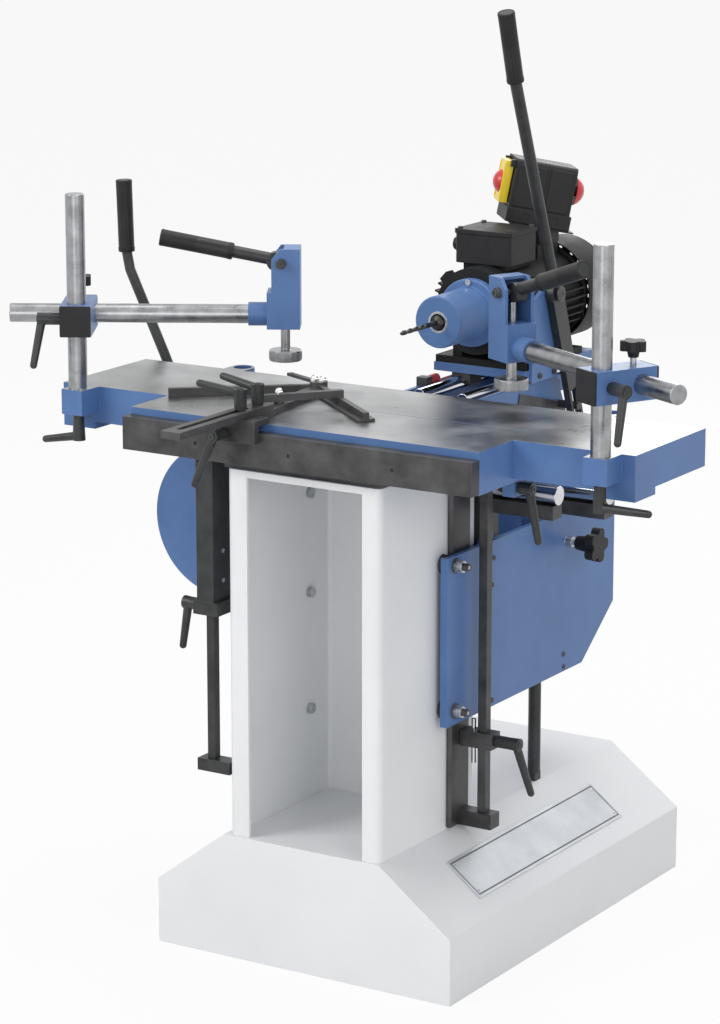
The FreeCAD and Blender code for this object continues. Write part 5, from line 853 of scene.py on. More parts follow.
CAP_NUT_FOOT = ((0, -0.1), (7.4, -0.1), (7.4, 3.8), (6.6, 4.6), (0, 4.6))

UP = Vector((0, 0, 1))
RIGHT = Vector((1, 0, 0))
FORWARD = Vector((0, -1, 0))


# Sub-assemblies

@dataclass
class Assembly:
    """A group of pieces that one shop dresses."""

    shop: Shop

    @property
    def looks(self) -> Finishes:
        """Give the shop's finishes."""
        return self.shop.looks


@dataclass
class Pedestal(Assembly):
    """Hollow base, open column and the plain plate on the right slope."""

    plate_front: float = -256.0
    plate_rear: float = 242.0
    plate_low: float = 36.0
    plate_high: float = 118.0
    plate_thickness: float = 2.0
    slope_foot: Vector = field(default_factory=lambda: Vector((285.0, 0.0, 112.0)))
    slope_run: Vector = field(default_factory=lambda: Vector((-135.0, 0.0, 102.0)))
    border_width: float = 2.6
    border_inset: float = 5.0
    border_foot: float = -0.1
    border_top: float = 0.12
    rivet_inset: float = 8.0

    def build(self) -> None:
        """Dress the base, the column and the plate."""
        looks = self.looks
        Skin("base", "sheet_grey", [looks.grey], edge_mm=3.0, segments=3).build("frame")
        Skin("column", "sheet_grey", [looks.grey], edge_mm=1.2).build("frame")
        Skin("name_plate", "plain_plate", [looks.plate], edge_mm=0.5).build("frame")
        self.border()

    def border(self) -> None:
        """Lay the dark border line and four rivets on the plain plate."""
        along = self.slope_run.normalized()
        outward = Vector((along.z, 0, -along.x))
        place = Matrix((along, Vector((0, 1, 0)), outward)).transposed().to_4x4()
        place.translation = (self.slope_foot + outward * self.plate_thickness) * MM
        low, high = self.plate_low + self.border_inset, self.plate_high - self.border_inset
        front, rear = self.plate_front + self.border_inset, self.plate_rear - self.border_inset
        width = self.border_width
        strips = {
            "low": (low, front, low + width, rear), "high": (high - width, front, high, rear),
            "front": (low, front, high, front + width), "rear": (low, rear - width, high, rear)}
        for label, (left, near, right, far) in strips.items():
            strip = slab("plate_border_" + label, (left, near, self.border_foot),
                         (right, far, self.border_top), place, self.looks.border, 0.05)
            fit(strip, "frame", "plain_plate")
        inset = self.rivet_inset
        spots = [(across, length) for length in (front + inset, rear - inset)
                 for across in (low + inset, high - inset)]
        for index, (across, length) in enumerate(spots):
            spot = place @ (Vector((across, length, 0)) * MM)
            rivet = lathe(f"plate_rivet_{index}", RIVET, aimed(spot, outward), self.looks.zinc, 24)
            fit(rivet, "frame", "zinc")


@dataclass
class WorkTable(Assembly):
    """Cast table in three parts, its mounting plate, fence rail and fixed screws."""

    top: float = 917.0
    top_slack: float = 1.5
    fence_rear: float = -380.0

    def build(self) -> None:
        """Dress the table and what is fixed to it."""
        looks = self.looks
        for node in ("table_centre", "table_wing_right", "table_wing_left"):
            Skin(node, "ground_iron", [looks.blue, looks.ground], self.ground_top, 1.0).build("frame")
        Skin("table_mount_plate", "black_steel", [looks.black_steel]).build("frame")
        Skin("fence_rail", "black_steel", [looks.black_steel], edge_mm=0.8).build("frame")
        Skin("frame_screws", "zinc", [looks.black_steel, looks.zinc], self.screw_tone, 0.3).build("frame")
        Skin("clamp_posts", "bright_steel", [looks.bar], edge_mm=1.6).build("frame")

    def ground_top(self, centre: Vector, normal: Vector) -> int:
        """Tell ground faces (1) from painted ones (0)."""
        return int(normal.z > 0.99 and centre.z > self.top - self.top_slack)

    def screw_tone(self, centre: Vector, normal: Vector) -> int:
        """Tell the dark screws of the fence (0) from the bright ones (1)."""
        return int(centre.y >= self.fence_rear)


@dataclass
class LiftGear(Assembly):
    """Rails, height stop, table prop and gas strut."""

    pin: tuple[float, float] = (180.5, -148.0)
    pin_reach: float = 4.6
    prop_screws: tuple[tuple[float, float, float], ...] = ((-167.0, -372.0, 690.0), (-167.0, -372.0, 640.0))

    def build(self) -> None:
        """Dress the lift gear."""
        looks = self.looks
        Skin("lift_rails", "black_steel", [looks.black_steel], edge_mm=0.8).build("frame")
        Skin("height_stop_block", "black_steel", [looks.black_steel, looks.chrome], self.on_pin,
             0.6).build("height_stop")
        Skin("table_prop", "black_steel", [looks.black_paint], edge_mm=0.9).build("frame")
        Skin("strut_tube", "black_steel", [looks.black_paint], edge_mm=0.6).build("frame")
        Skin("strut_rod", "chrome_bar", [looks.chrome], edge_mm=0.4).build("carriage")
        screws = self.shop.screw_row("prop_screws", self.prop_screws, RIGHT, 4.0, 1.2, looks.zinc)
        fit(screws, "frame", "zinc")

    def on_pin(self, centre: Vector, normal: Vector) -> int:
        """Tell the round pin of the stop block (1) from the block (0)."""
        return int(math.hypot(centre.x - self.pin[0], centre.y - self.pin[1]) < self.pin_reach)


@dataclass
class Carriage(Assembly):
    """Side plates with rollers, guide bars, knob and the disc before the cross lever."""

    right: float = 175.0
    left: float = -167.0
    roller_y: float = -202.9
    roller_levels: tuple[float, float] = (428.0, 674.0)
    roller_bolt_reach: float = 12.0
    knob_bolt: tuple[float, float] = (176.0, 635.0)
    knob_bolt_reach: float = 10.0
    knob_foot: float = 195.5
    bar_level: float = 700.0
    bar_rear: float = 150.0
    nut_rings: int = 5
    nut_pitch: float = 2.7
    nut_height: float = 16.4
    plate_screws: tuple[tuple[float, float], ...] = (
        (-77.0, 660.0), (-82.0, 615.0), (-80.0, 415.0), (184.0, 685.0), (169.0, 435.0), (170.0, 412.0))

    def pick(self, centre: Vector, normal: Vector) -> int:
        """Tell blue plates (0) from bright bolts (1) and the dark bars that carry the slide (2).

        Args:
            centre: Middle of the face in millimetres.
            normal: Direction of the face.

        Returns:
            The number of the finish.
        """
        past_right = centre.x > self.right + 0.3
        outside = past_right or centre.x < self.left - 0.3
        if outside and abs(centre.y - self.roller_y) < self.roller_bolt_reach and centre.z < self.bar_level:
            return 1
        from_knob = math.hypot(centre.y - self.knob_bolt[0], centre.z - self.knob_bolt[1])
        if past_right and from_knob < self.knob_bolt_reach:
            return 1
        return 2 if centre.z > self.bar_level and centre.y < self.bar_rear else 0

    def knob_pick(self, centre: Vector, normal: Vector) -> int:
        """Tell the knob (0) from its zinc foot (1)."""
        return int(centre.x < self.knob_foot)

    def build(self) -> None:
        """Dress the carriage and add its visible fasteners."""
        looks = self.looks
        Skin("carriage_frame", "cast_blue", [looks.blue, looks.zinc, looks.black_steel], self.pick,
             0.8, fused=True).build("carriage")
        Skin("guide_bars", "chrome_bar", [looks.chrome], edge_mm=1.4).build("carriage")
        Skin("lever_disc", "cast_blue", [looks.blue], edge_mm=0.8).build("carriage")
        for node in ("rollers_lower", "rollers_upper"):
            Skin(node, "black_steel", [looks.black_steel], edge_mm=0.5).build(node)
        Skin("carriage_knob", "black_plastic", [looks.plastic, looks.zinc], self.knob_pick, 1.6,
             3).build("carriage_knob")
        for side, face, outward in (("right", self.right, RIGHT), ("left", self.left, -RIGHT)):
            for level, z in zip(("low", "high"), self.roller_levels):
                self.roller_nut(f"roller_nut_{side}_{level}", Vector((face, self.roller_y, z)), outward)
            points = [(face, y, z) for y, z in self.plate_screws]
            row = self.shop.screw_row("plate_screws_" + side, points, outward, 4.6, 1.4, looks.black_steel)
            fit(row, "carriage", "black_steel")

    def roller_nut(self, name: str, seat: Vector, outward: Vector) -> None:
        """Add the washer, ringed nut and black socket on a roller bolt.

        Args:
            name: Name of the pieces.
            seat: Where the nut stands on the plate, in millimetres.
            outward: Direction away from the plate.
        """
        place = aimed(seat * MM, outward)
        washer = lathe(name + "_washer", WASHER, place, self.looks.black_steel, 40)
        fit(washer, "carriage", "black_steel")
        rings = [(0, 2.1), (9.9, 2.1)]
        for index in range(self.nut_rings):
            start = 2.4 + index * self.nut_pitch
            rings += [(10.2, start), (10.2, start + 1.7), (9.5, start + 2.0), (9.5, start + 2.5)]
        rings += [(9.4, self.nut_height), (0, self.nut_height + 0.2)]
        fit(lathe(name, rings, place, self.looks.zinc, 40), "carriage", "zinc")
        cap = self.shop.screw_row(name + "_socket", [seat + outward * self.nut_height], outward, 6.4, 9.9,
                                  self.looks.black_steel, (3.4, 8.0))
        fit(cap, "carriage", "black_steel")


@dataclass
class Slides(Assembly):
    """Long slide on the guide bars and the depth slide on its two rails."""

    top: float = 912.0
    buffer_front: float = 33.0
    plate_left: float = -34.0
    plate_right: float = 122.5
    beam_front: float = -34.5
    beam_level: float = 806.0
    fork_level: float = 764.0
    bearing_top: float = 924.5
    gusset_side: float = 141.0
    gusset_screws: tuple[tuple[float, float], ...] = ((133.0, 928.0), (181.0, 928.0))
    strip_start: Vector = field(default_factory=lambda: Vector((121.9, 94.0, 890.0)))
    strip_run: Vector = field(default_factory=lambda: Vector((0.0, 161.0, -42.0)))
    strip_half_width: float = 11.0

    def long_pick(self, centre: Vector, normal: Vector) -> int:
        """Tell the blue plates (0) from dark blocks (1) and the red buffer (2).

        Args:
            centre: Middle of the face in millimetres.
            normal: Direction of the face.

        Returns:
            The number of the finish.
        """
        if centre.z > self.top - 1 and centre.y > self.buffer_front + 0.5 and centre.x < 0:
            return 2
        if centre.z > self.top + 0.5 or not self.plate_left <= centre.x <= self.plate_right:
            return 1
        below = centre.y < self.beam_front or centre.z < self.fork_level
        return int(centre.z < self.beam_level and below)

    def plate_pick(self, centre: Vector, normal: Vector) -> int:
        """Tell the blue plate and gusset (0) from bearings and pivot (1)."""
        return int(centre.z < self.bearing_top or centre.x > self.gusset_side + 0.5)

    def build(self) -> None:
        """Dress both slides and their rails."""
        looks = self.looks
        Skin("long_slide", "cast_blue", [looks.blue, looks.black_steel, looks.buffer], self.long_pick,
             0.8, fused=True).build("long_slide")
        Skin("depth_rails", "chrome_bar", [looks.chrome], edge_mm=1.0).build("long_slide")
        Skin("depth_plate", "cast_blue", [looks.blue, looks.black_steel], self.plate_pick,
             1.0).build("depth_slide")
        points = [(self.gusset_side, y, z) for y, z in self.gusset_screws]
        screws = self.shop.screw_row("gusset_screws", points, RIGHT, 5.0, 3.0, looks.black_steel)
        fit(screws, "depth_slide", "black_steel")
        place = aimed(self.strip_start * MM, RIGHT, self.strip_run)
        strip = slab("slide_strip", (0, -self.strip_half_width, -0.3),
                     (self.strip_run.length, self.strip_half_width, 2.6), place, looks.black_steel, 0.4)
        fit(strip, "long_slide", "black_steel")


@dataclass
class Drill(Assembly):
    """Motor with its nose, cowl, terminal box, shaft and drill."""

    axis_x: float = 45.0
    axis_z: float = 1038.0
    lid_xs: tuple[float, float] = (-8.0, 85.0)
    lid_ys: tuple[float, float] = (120.0, 199.0)
    lid_top: float = 1170.0
    flange_radius: float = 53.0
    flange_front: float = 57.0
    flange_turns: tuple[float, ...] = (90.0, 210.0, 330.0)
    collet_front: float = -50.5
    rim_front: float = -44.0
    shank_end: float = -8.0
    bit_tip: float = -163.0
    bit_radius: float = 4.2
    flute_length: float = 84.0
    flute_turns: float = 2.2
    flute_depth: float = 0.42
    bit_around: int = 28
    bit_steps: int = 72

    def at(self, y: float) -> Vector:
        """Give a point on the drill's axis, in metres."""
        return Vector((self.axis_x, y, self.axis_z)) * MM

    def build(self) -> None:
        """Dress the motor and add its small parts."""
        looks = self.looks
        Skin("motor_body", "motor_black", [looks.motor], edge_mm=0.6).build("depth_slide")
        Skin("nose_housing", "cast_blue", [looks.blue], edge_mm=3.0, segments=4).build("depth_slide")
        Skin("fan_cowl", "motor_black", [looks.motor], edge_mm=0.5).build("depth_slide")
        Skin("terminal_box", "black_plastic", [looks.plastic], edge_mm=1.6, segments=3).build("depth_slide")
        Skin("rotor", "black_steel", [looks.black_steel, looks.tool],
             lambda centre, normal: int(centre.y < 0), 0.4).build("rotor")
        lid = [(x, y, self.lid_top) for x in self.lid_xs for y in self.lid_ys]
        screws = self.shop.screw_row("lid_screws", lid, UP, 4.4, 3.2, looks.black_steel)
        fit(screws, "depth_slide", "black_steel")
        flange = []
        for angle in map(math.radians, self.flange_turns):
            flange.append((self.axis_x + self.flange_radius * math.cos(angle), self.flange_front,
                           self.axis_z + self.flange_radius * math.sin(angle)))
        fit(self.shop.screw_row("nose_screws", flange, FORWARD, 5.0, 3.4, looks.zinc), "depth_slide", "zinc")
        collet = lathe("collet_ring", COLLET_RING, aimed(self.at(self.collet_front), -FORWARD), looks.tool)
        fit(collet, "rotor", "black_steel")
        rim = lathe("nose_rim", NOSE_RIM, aimed(self.at(self.rim_front), FORWARD), looks.zinc, 64)
        fit(rim, "depth_slide", "zinc")
        self.bit()

    def bit(self) -> None:
        """Twist the two-flute cutting end of the drill and keep its round shank."""
        shape = bmesh.new()
        rings = []
        for step in range(self.bit_steps + 1):
            share = step / self.bit_steps
            y = self.bit_tip + self.flute_length * share
            depth = self.flute_depth * min(1.0, (1 - share) * 6)
            point = min(1.0, 0.35 + share * 12)
            ring = []
            for index in range(self.bit_around):
                angle = 2 * math.pi * index / self.bit_around
                radius = self.bit_radius * (1 - abs(math.sin(angle)) ** 3 * depth) * point * MM
                turned = angle + 2 * math.pi * self.flute_turns * share
                around = Vector((math.cos(turned), 0, math.sin(turned)))
                ring.append(shape.verts.new(self.at(y) + around * radius))
            rings.append(ring)
        end = self.at(self.shank_end).y
        rings.append([shape.verts.new(Vector((vert.co.x, end, vert.co.z))) for vert in rings[-1]])
        stitch(shape, rings)
        shape.faces.new(rings[0])
        shape.faces.new(rings[-1])
        bmesh.ops.recalc_face_normals(shape, faces=shape.faces)
        piece = settle(cast("twisted_bit", shape, self.looks.tool))
        fit(piece, "rotor", "black_steel", "drill_bit")


@dataclass
class SwitchBox(Assembly):
    """Switch box on the motor with its hinged flap and round button."""

    centre: Vector = field(default_factory=lambda: Vector((47.0, 290.0, 1215.0)))
    turn: float = 40.0
    tilt: float = 11.0
    half_length: float = 54.0
    half_width: float = 39.0
    half_height: float = 54.0
    flap_front: float = 16.01
    head_foot: float = 7.9
    button_rise: float = 12.0
    rib_spacing: float = 21.0

    def place(self) -> Matrix:
        """Give the matrix of the box's own axes: x to the round button, z up.

        Returns:
            The placing matrix.
        """
        turn, tilt = math.radians(self.turn), math.radians(self.tilt)
        ahead = Vector((math.cos(turn) * math.cos(tilt), math.sin(turn) * math.cos(tilt), -math.sin(tilt)))
        side = Vector((-math.sin(turn), math.cos(turn), 0))
        matrix = Matrix((ahead, side, ahead.cross(side))).transposed().to_4x4()
        matrix.translation = self.centre * MM
        return matrix

    def build(self) -> None:
        """Dress the box and add its ribs, knock-outs and collar."""
        looks = self.looks
        place = self.place()
        back = place.inverted()

        def button(centre: Vector, normal: Vector) -> int:
            """Tell the red button (1) from the yellow flap (0)."""
            return int((back @ (centre * MM)).x < -(self.half_length + self.flap_front) * MM)

        def stem(centre: Vector, normal: Vector) -> int:
            """Tell the black stem (1) from the red head (0)."""
            return int((back @ (centre * MM)).x < (self.half_length + self.head_foot) * MM)

        Skin("switch_housing", "black_plastic", [looks.plastic], edge_mm=2.0, segments=3).build("depth_slide")
        Skin("switch_flap", "yellow_plastic", [looks.yellow, looks.red], button, 1.2, 3).build("switch_flap")
        Skin("mushroom_button", "red_plastic", [looks.red, looks.plastic], stem, 1.4,
             3).build("mushroom_button")
        low, wide, high = self.half_length, self.half_width, self.half_height
        blocks = {
            "foot_band": ((-low - 2.4, -wide - 3.4, -high - 0.6), (low + 3.6, wide + 1.6, -high + 25)),
            "bottom_plate": ((-low + 6, -wide - 5.5, -high - 3.4), (low + 12, wide - 6, -high - 0.8)),
            "back_panel": ((8, -wide - 2.2, -high + 27), (low - 6, -wide + 1, high - 8)),
            "front_panel": ((-low + 6, -wide - 2.2, -high + 27), (2, -wide + 1, high - 8))}
        for name, (start, end) in blocks.items():
            fit(slab("switch_" + name, start, end, place, looks.plastic, 1.6), "depth_slide", "black_plastic")
        for index, along in enumerate((-24, 28)):
            spot = place @ (Vector((along, -wide - 3.4, -high + 12)) * MM)
            ring = lathe(f"switch_knockout_{index}", KNOCKOUT, aimed(spot, place.to_3x3() @ FORWARD),
                         looks.plastic, 36)
            fit(ring, "depth_slide", "black_plastic")
        seat = aimed(place @ (Vector((low, 0, self.button_rise)) * MM), place.to_3x3() @ RIGHT)
        fit(lathe("mushroom_collar", BUTTON_COLLAR, seat, looks.plastic), "depth_slide", "black_plastic")
        for index, across in enumerate((-self.rib_spacing, self.rib_spacing)):
            rib = slab(f"flap_rib_{index}", (-low - 17.2, across - 1.2, -high + 32),
                       (-low - 15.6, across + 1.2, high - 12), place, looks.yellow, 0.5)
            fit(rib, "switch_flap", "yellow_plastic")


@dataclass
class HandLevers(Assembly):
    """Depth lever on the right and cross lever on the left."""

    pivot_face: Vector = field(default_factory=lambda: Vector((161.1, 166.0, 1065.0)))
    depth_grip: tuple[tuple[float, float, float], ...] = ((151.0, 22.0, 1436.0), (151.0, -12.0, 1552.0))
    cross_grip: tuple[tuple[float, float, float], ...] = ((-613.0, -8.0, 1096.0), (-617.0, -8.0, 1222.0))

    def build(self) -> None:
        """Dress both levers and add their grips and the pivot's cap."""
        looks = self.looks
        Skin("depth_lever", "black_steel", [looks.black_paint], edge_mm=0.6).build("depth_lever")
        Skin("cross_lever", "black_steel", [looks.black_paint], edge_mm=0.8).build("cross_lever")
        hand_grip("depth_grip", "depth_lever", *map(Vector, self.depth_grip), looks.grip)
        hand_grip("cross_grip", "cross_lever", *map(Vector, self.cross_grip), looks.grip)
        cap = lathe("pivot_cap", PIVOT_CAP, aimed(self.pivot_face * MM, RIGHT), looks.black_steel)
        fit(cap, "depth_slide", "black_steel")


@dataclass
class ClampingLever(Assembly):
    """Small cast clamping lever: fluted hub, screw in its head and a flat-ended arm."""

    node: str
    joint: str
    hub_height: float
    flutes: int = 14
    flute_ring: float = 9.2
    flute_radius: float = 1.1
    flute_share: float = 0.46
    collar_height: float = 3.0

    def build(self) -> None:
        """Dress the lever and add its flutes, its collar and its screw."""
        looks = self.looks
        joint = self.shop.joints[self.joint]
        seat, axis = Vector(joint["pos_m"]), Vector(joint["axis"])
        Skin(self.node, "black_plastic", [looks.black_paint], edge_mm=0.8).build(self.node)
        height = self.hub_height * self.flute_share
        middle = aimed(seat + axis * (height / 2 + self.collar_height) * MM, axis)
        flutes = self.shop.rib_ring(self.node + "_flutes", self.flutes, self.flute_ring, self.flute_radius,
                                    height, middle, looks.black_paint)
        fit(flutes, self.node, "black_plastic")
        collar = lathe(self.node + "_collar", LEVER_COLLAR, aimed(seat, axis), looks.zinc, 36)
        fit(collar, self.node, "zinc")
        top = seat / MM + axis * (self.hub_height - 0.6)
        screw = self.shop.screw_row(self.node + "_screw", [top], axis, 5.6, 2.0, looks.black_steel,
                                    (3.0, 2.4))
        fit(screw, self.node, "black_steel")


class Side(Enum):
    """Which end of the table a work clamp stands on."""

    RIGHT = "right"
    LEFT = "left"


@dataclass
class WorkClamp(Assembly):
    """Work clamp on one post: sliding block, arm, head, handle and pad."""

    side: Side
    handle_rise: float
    pad_drop: float
    cap_near: float = -27.01
    cap_far: float = 85.01
    head_width: float = 56.0
    bolt_reach: float = 9.5
    bolt_head: float = 8.0
    knob_foot: float = 37.5
    handle_length: float = 208.0
    grip_length: float = 124.0
    pivot_rise: float = 112.0
    pad_reach: float = 5.0
    pad_radius: float = 27.5
    pad_height: float = 18.0
    knurl_ribs: int = 64

    def build(self) -> None:
        """Dress the clamp and add its grip, bolts and knurled pad."""
        looks, side, joints = self.looks, self.side.value, self.shop.joints
        inward = Vector(joints[f"clamp_{side}_reach"]["axis"])
        turn = joints[f"clamp_{side}_handle_turn"]
        pivot, cross = Vector(turn["pos_m"]) / MM, Vector(turn["axis"])
        post = Vector(joints[f"clamp_{side}_swing"]["pos_m"]) / MM
        across = Vector((-inward.y, inward.x, 0)) * (-1 if self.side is Side.RIGHT else 1)

        def cap(centre: Vector, normal: Vector) -> int:
            """Tell plastic caps (1) from the blue tube (0)."""
            return int(not self.cap_near <= (centre - post).dot(across) <= self.cap_far)

        def bolt(centre: Vector, normal: Vector) -> int:
            """Tell the pivot bolt (1) from the blue head (0).

            Args:
                centre: Middle of the face in millimetres.
                normal: Direction of the face.

            Returns:
                The number of the finish.
            """
            along = (centre - pivot).dot(cross)
            in_wall = self.head_width / 2 - 6.3 <= abs(along) <= self.head_width / 2 + 0.3
            radial = (centre - pivot) - cross * along
            return int(not in_wall and radial.length < self.bolt_reach)

        def foot(centre: Vector, normal: Vector) -> int:
            """Tell the zinc foot of the knob (1) from the knob (0)."""
            return int(centre.z < post.z + self.knob_foot)

        block, arm, handle = "clamp_block_" + side, "clamp_arm_" + side, "clamp_handle_" + side
        plunger, knob = "clamp_plunger_" + side, "clamp_knob_" + side
        Skin(block, "cast_blue", [looks.blue, looks.plastic], cap, 1.4, 3).build(block)
        Skin(arm, "bright_steel", [looks.bar], edge_mm=1.4).build(arm)
        Skin("clamp_head_" + side, "cast_blue", [looks.blue, looks.black_steel], bolt, 1.2).build(arm)
        Skin(handle, "black_steel", [looks.black_paint], edge_mm=0.6).build(handle)
        Skin(plunger, "bright_steel", [looks.bar], edge_mm=1.0).build(plunger)
        Skin(knob, "black_plastic", [looks.plastic, looks.zinc], foot, 1.2).build(knob)
        rise = math.radians(self.handle_rise)
        lean = inward * -math.cos(rise) + UP * math.sin(rise)
        start = pivot + lean * (self.handle_length - self.grip_length)
        hand_grip("clamp_grip_" + side, handle, start, pivot + lean * self.handle_length, looks.grip)
        for label, way in (("near", -1), ("far", 1)):
            seat = pivot + cross * way * (self.head_width / 2 + self.bolt_head)
            screw = self.shop.screw_row(f"clamp_bolt_{side}_{label}", [seat], cross * way, 6.4, 2.4,
                                        looks.black_steel, (3.6, 3.6))
            fit(screw, arm, "black_steel")
        middle = pivot + inward * self.pad_reach
        middle.z -= self.pivot_rise + self.pad_drop - self.pad_height / 2
        knurl = self.shop.rib_ring("pad_knurl_" + side, self.knurl_ribs, self.pad_radius - 0.5, 1.0,
                                   self.pad_height - 6, aimed(middle * MM, UP), looks.bar)
        fit(knurl, plunger, "bright_steel")


@dataclass
class TableStop(Assembly):
    """Claw on the fence, slotted bar and the right-angled stop on it."""

    apex: tuple[float, float] = (-128.0, -140.0)
    apex_nuts: float = 8.0
    spacer: tuple[float, float] = (-108.0, -292.0)
    vee_top: float = 932.0
    thin_sheet: float = 5.0
    brace_section: float = 12.0
    nut_reach: float = 7.0
    dome_radius: float = 6.0

    def nuts(self) -> list[tuple[float, float, float]]:
        """Give the place of each cap nut and the height of its seat on the stop.

        Returns:
            The x, y and rise of the nuts in millimetres, the two at the apex first.
        """
        pair = [(self.apex[0] + way * self.apex_nuts, self.apex[1], self.thin_sheet) for way in (-1, 1)]
        return pair + [(*self.spacer, self.brace_section)]

    def build(self) -> None:
        """Dress the stop and add its cap nuts."""
        looks = self.looks
        Skin("stop_claw", "black_steel", [looks.black_steel], edge_mm=0.8).build("stop_claw")
        Skin("stop_bar", "black_steel", [looks.black_steel], edge_mm=0.6, fused=True).build("stop_bar")
        Skin("stop_vee", "black_steel", [looks.black_steel], self.leave_nuts, 0.5).build("stop_vee")
        radius = self.dome_radius
        dome = [(0, 0), (radius, 0)]
        for angle in (0, 0.3, 0.6, 0.9, 1.2, 1.45):
            dome.append((radius * math.cos(angle), 4 + radius * math.sin(angle)))
        dome.append((0, 10.0))
        for index, (x, y, rise) in enumerate(self.nuts()):
            place = Matrix.Translation(Vector((x, y, self.vee_top + rise)) * MM)
            fit(lathe(f"cap_nut_{index}", dome, place, looks.nickel, 36), "stop_vee", "zinc")
            fit(lathe(f"cap_nut_hex_{index}", CAP_NUT_FOOT, place, looks.nickel, 6), "stop_vee", "zinc")

    def leave_nuts(self, centre: Vector, normal: Vector) -> int:
        """Leave out (-1) the faces of the small nuts, which are turned apart, and keep the rest (0).

        Args:
            centre: Middle of the face in millimetres.
            normal: Direction of the face.

        Returns:
            The number of the finish, or -1.
        """
        rise = centre.z - self.vee_top + (0.2 if normal.z < -0.9 else 0.0)
        for x, y, seat in self.nuts():
            if rise > seat + 0.1 and math.hypot(centre.x - x, centre.y - y) < self.nut_reach:
                return -1
        return 0


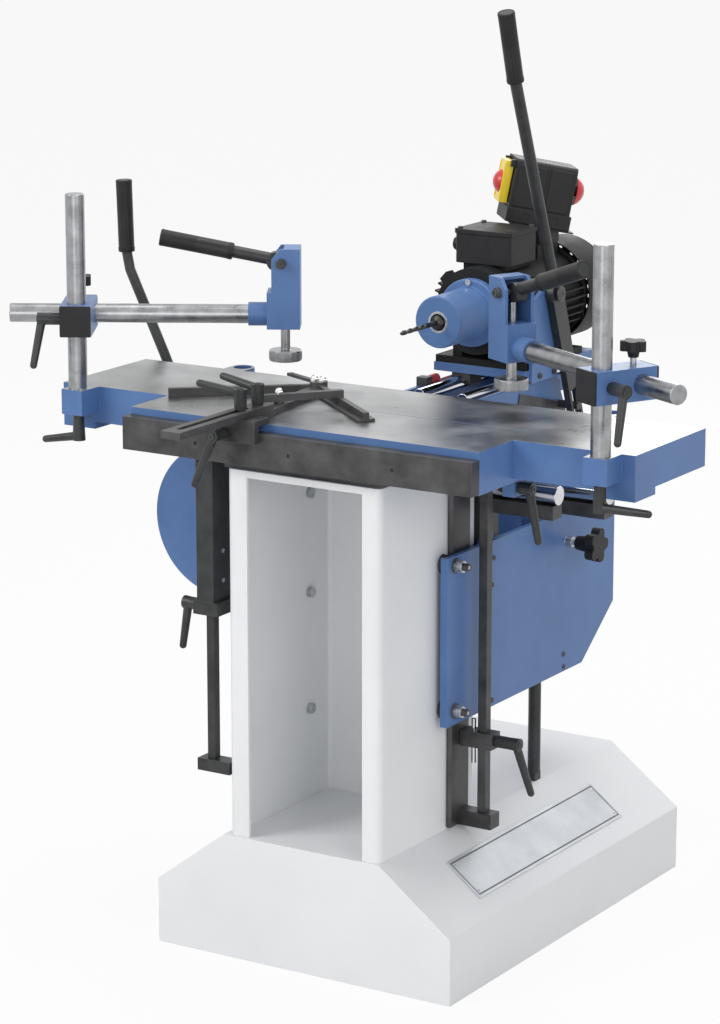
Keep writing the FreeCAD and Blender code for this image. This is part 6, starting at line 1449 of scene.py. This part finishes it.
@dataclass
class Studio:
    """Floor, lamps, world and camera."""

    camera_place: tuple[float, float, float] = (2.93384, -4.92332, 2.07677)
    camera_turn: tuple[float, float, float] = (76.491, 0.0, 31.931)
    lens: float = 122.046
    sensor: float = 36.0
    floor_half: float = 60.0
    floor_white: float = 0.91
    room_light: float = 0.42

    def build(self) -> None:
        """Set the stage round the machine."""
        self.floor()
        self.world()
        self.lamp("key lamp", (-2.6, -3.6, 3.6), (0.0, 0.0, 0.7), 2.4, 105.0)
        self.lamp("front lamp", (1.6, -5.2, 1.4), (0.0, 0.0, 0.6), 2.0, 30.0)
        self.lamp("fill lamp", (4.2, -2.6, 2.4), (0.0, 0.0, 0.8), 2.6, 55.0)
        self.lamp("top lamp", (0.4, 0.6, 4.4), (0.0, 0.0, 0.6), 2.8, 75.0)
        self.lamp("rear lamp", (-1.0, 4.4, 2.6), (0.0, 0.0, 0.8), 2.4, 50.0)
        self.camera()

    def floor(self) -> None:
        """Lay the pale floor, near white to the camera but still holding the shadow."""
        half = self.floor_half
        mesh = bpy.data.meshes.new("floor")
        corners = [(-half, -half, 0), (half, -half, 0), (half, half, 0), (-half, half, 0)]
        mesh.from_pydata(corners, [], [(0, 1, 2, 3)])
        made = bpy.data.materials.new("studio floor paint")
        tree = fresh_tree(made)
        matt = add_node(tree, "ShaderNodeBsdfDiffuse", {}, {"Color": linear("#e6e6e6")})
        glow = add_node(tree, "ShaderNodeEmission", {}, {"Color": (1, 1, 1, 1), "Strength": 1.0})
        share = add_node(tree, "ShaderNodeMath", {"operation": "MULTIPLY"}, {
            0: self.seen(tree), 1: self.floor_white})
        mixed = add_node(tree, "ShaderNodeMixShader", {}, {
            0: share.outputs["Value"], 1: matt.outputs["BSDF"], 2: glow.outputs["Emission"]})
        add_node(tree, "ShaderNodeOutputMaterial", {}, {"Surface": mixed.outputs["Shader"]})
        mesh.materials.append(made)
        keep_object("floor", mesh)

    def seen(self, tree: NodeTree) -> NodeSocket:
        """Give 1 for rays that the camera, a gloss or a clear part sends straight here.

        Args:
            tree: The tree that gets the nodes.

        Returns:
            The socket with the value.
        """
        path = add_node(tree, "ShaderNodeLightPath").outputs
        first = add_node(tree, "ShaderNodeMath", {"operation": "MAXIMUM"}, {
            0: path["Is Camera Ray"], 1: path["Is Glossy Ray"]})
        return add_node(tree, "ShaderNodeMath", {"operation": "MAXIMUM"}, {
            0: first.outputs["Value"], 1: path["Is Transmission Ray"]}).outputs["Value"]

    def world(self) -> None:
        """Fill the room with soft even light and show it white."""
        made = bpy.data.worlds.new("white room")
        tree = fresh_tree(made)
        soft = add_node(tree, "ShaderNodeBackground", {}, {
            "Color": (1, 1, 1, 1), "Strength": self.room_light})
        white = add_node(tree, "ShaderNodeBackground", {}, {"Color": (1, 1, 1, 1), "Strength": 1.0})
        mixed = add_node(tree, "ShaderNodeMixShader", {}, {
            0: self.seen(tree), 1: soft.outputs["Background"], 2: white.outputs["Background"]})
        add_node(tree, "ShaderNodeOutputWorld", {}, {"Surface": mixed.outputs["Shader"]})
        bpy.context.scene.world = made

    def lamp(self, name: str, place: Sequence[float], target: Sequence[float], size: float,
             power: float) -> None:
        """Hang one square soft lamp.

        Args:
            name: Name of the lamp.
            place: Where it hangs, in metres.
            target: Point that it faces.
            size: Side of its face in metres.
            power: Its power in watts.
        """
        data = bpy.data.lights.new(name, "AREA")
        data.size = size
        data.energy = power
        lamp = bpy.data.objects.new(name, data)
        lamp.location = place
        lamp.rotation_euler = (Vector(target) - Vector(place)).to_track_quat("-Z", "Y").to_euler()
        bpy.context.scene.collection.objects.link(lamp)

    def camera(self) -> None:
        """Stand the camera where the photographer stood."""
        data = bpy.data.cameras.new("camera")
        data.lens = self.lens
        data.sensor_width = self.sensor
        eye = bpy.data.objects.new("camera", data)
        eye.location = self.camera_place
        eye.rotation_euler = [math.radians(angle) for angle in self.camera_turn]
        bpy.context.scene.collection.objects.link(eye)
        bpy.context.scene.camera = eye


# Node, joint and height of the hub of each clamping lever
CLAMPING_LEVERS = (
    ("height_stop_lever", "height_stop_lever_turn", 46.0), ("prop_lever", "prop_lever_turn", 30.0),
    ("table_lock_lever", "table_lock_lever_turn", 26.0), ("post_lever_right", "post_lever_right_turn", 46.0),
    ("post_lever_left", "post_lever_left_turn", 46.0), ("clamp_lever_right", "clamp_right_lever_turn", 40.0),
    ("clamp_lever_left", "clamp_left_lever_turn", 40.0), ("stop_lever_claw", "stop_lever_claw_turn", 36.0),
    ("stop_lever_front", "stop_lever_front_turn", 34.0), ("stop_lever_rear", "stop_lever_rear_turn", 34.0))


def main() -> None:
    """Build the looks of the machine, sub-assembly by sub-assembly."""
    logging.basicConfig(level=logging.INFO, format="%(name)s: %(message)s")
    bpy.context.scene.view_settings.view_transform = "Standard"
    Studio().build()
    joints = {joint["name"]: joint for joint in frame["joints"]}
    shop = Shop(Finishes(), screw_tree(), rib_tree(), joints)
    for kind in (Pedestal, WorkTable, LiftGear, Carriage, Slides, Drill, SwitchBox, HandLevers, TableStop):
        kind(shop).build()
    WorkClamp(shop, Side.RIGHT, handle_rise=18.0, pad_drop=49.0).build()
    WorkClamp(shop, Side.LEFT, handle_rise=11.0, pad_drop=57.0).build()
    for node, joint, height in CLAMPING_LEVERS:
        ClampingLever(shop, node, joint, height).build()


if __name__ == "__main__":
    main()
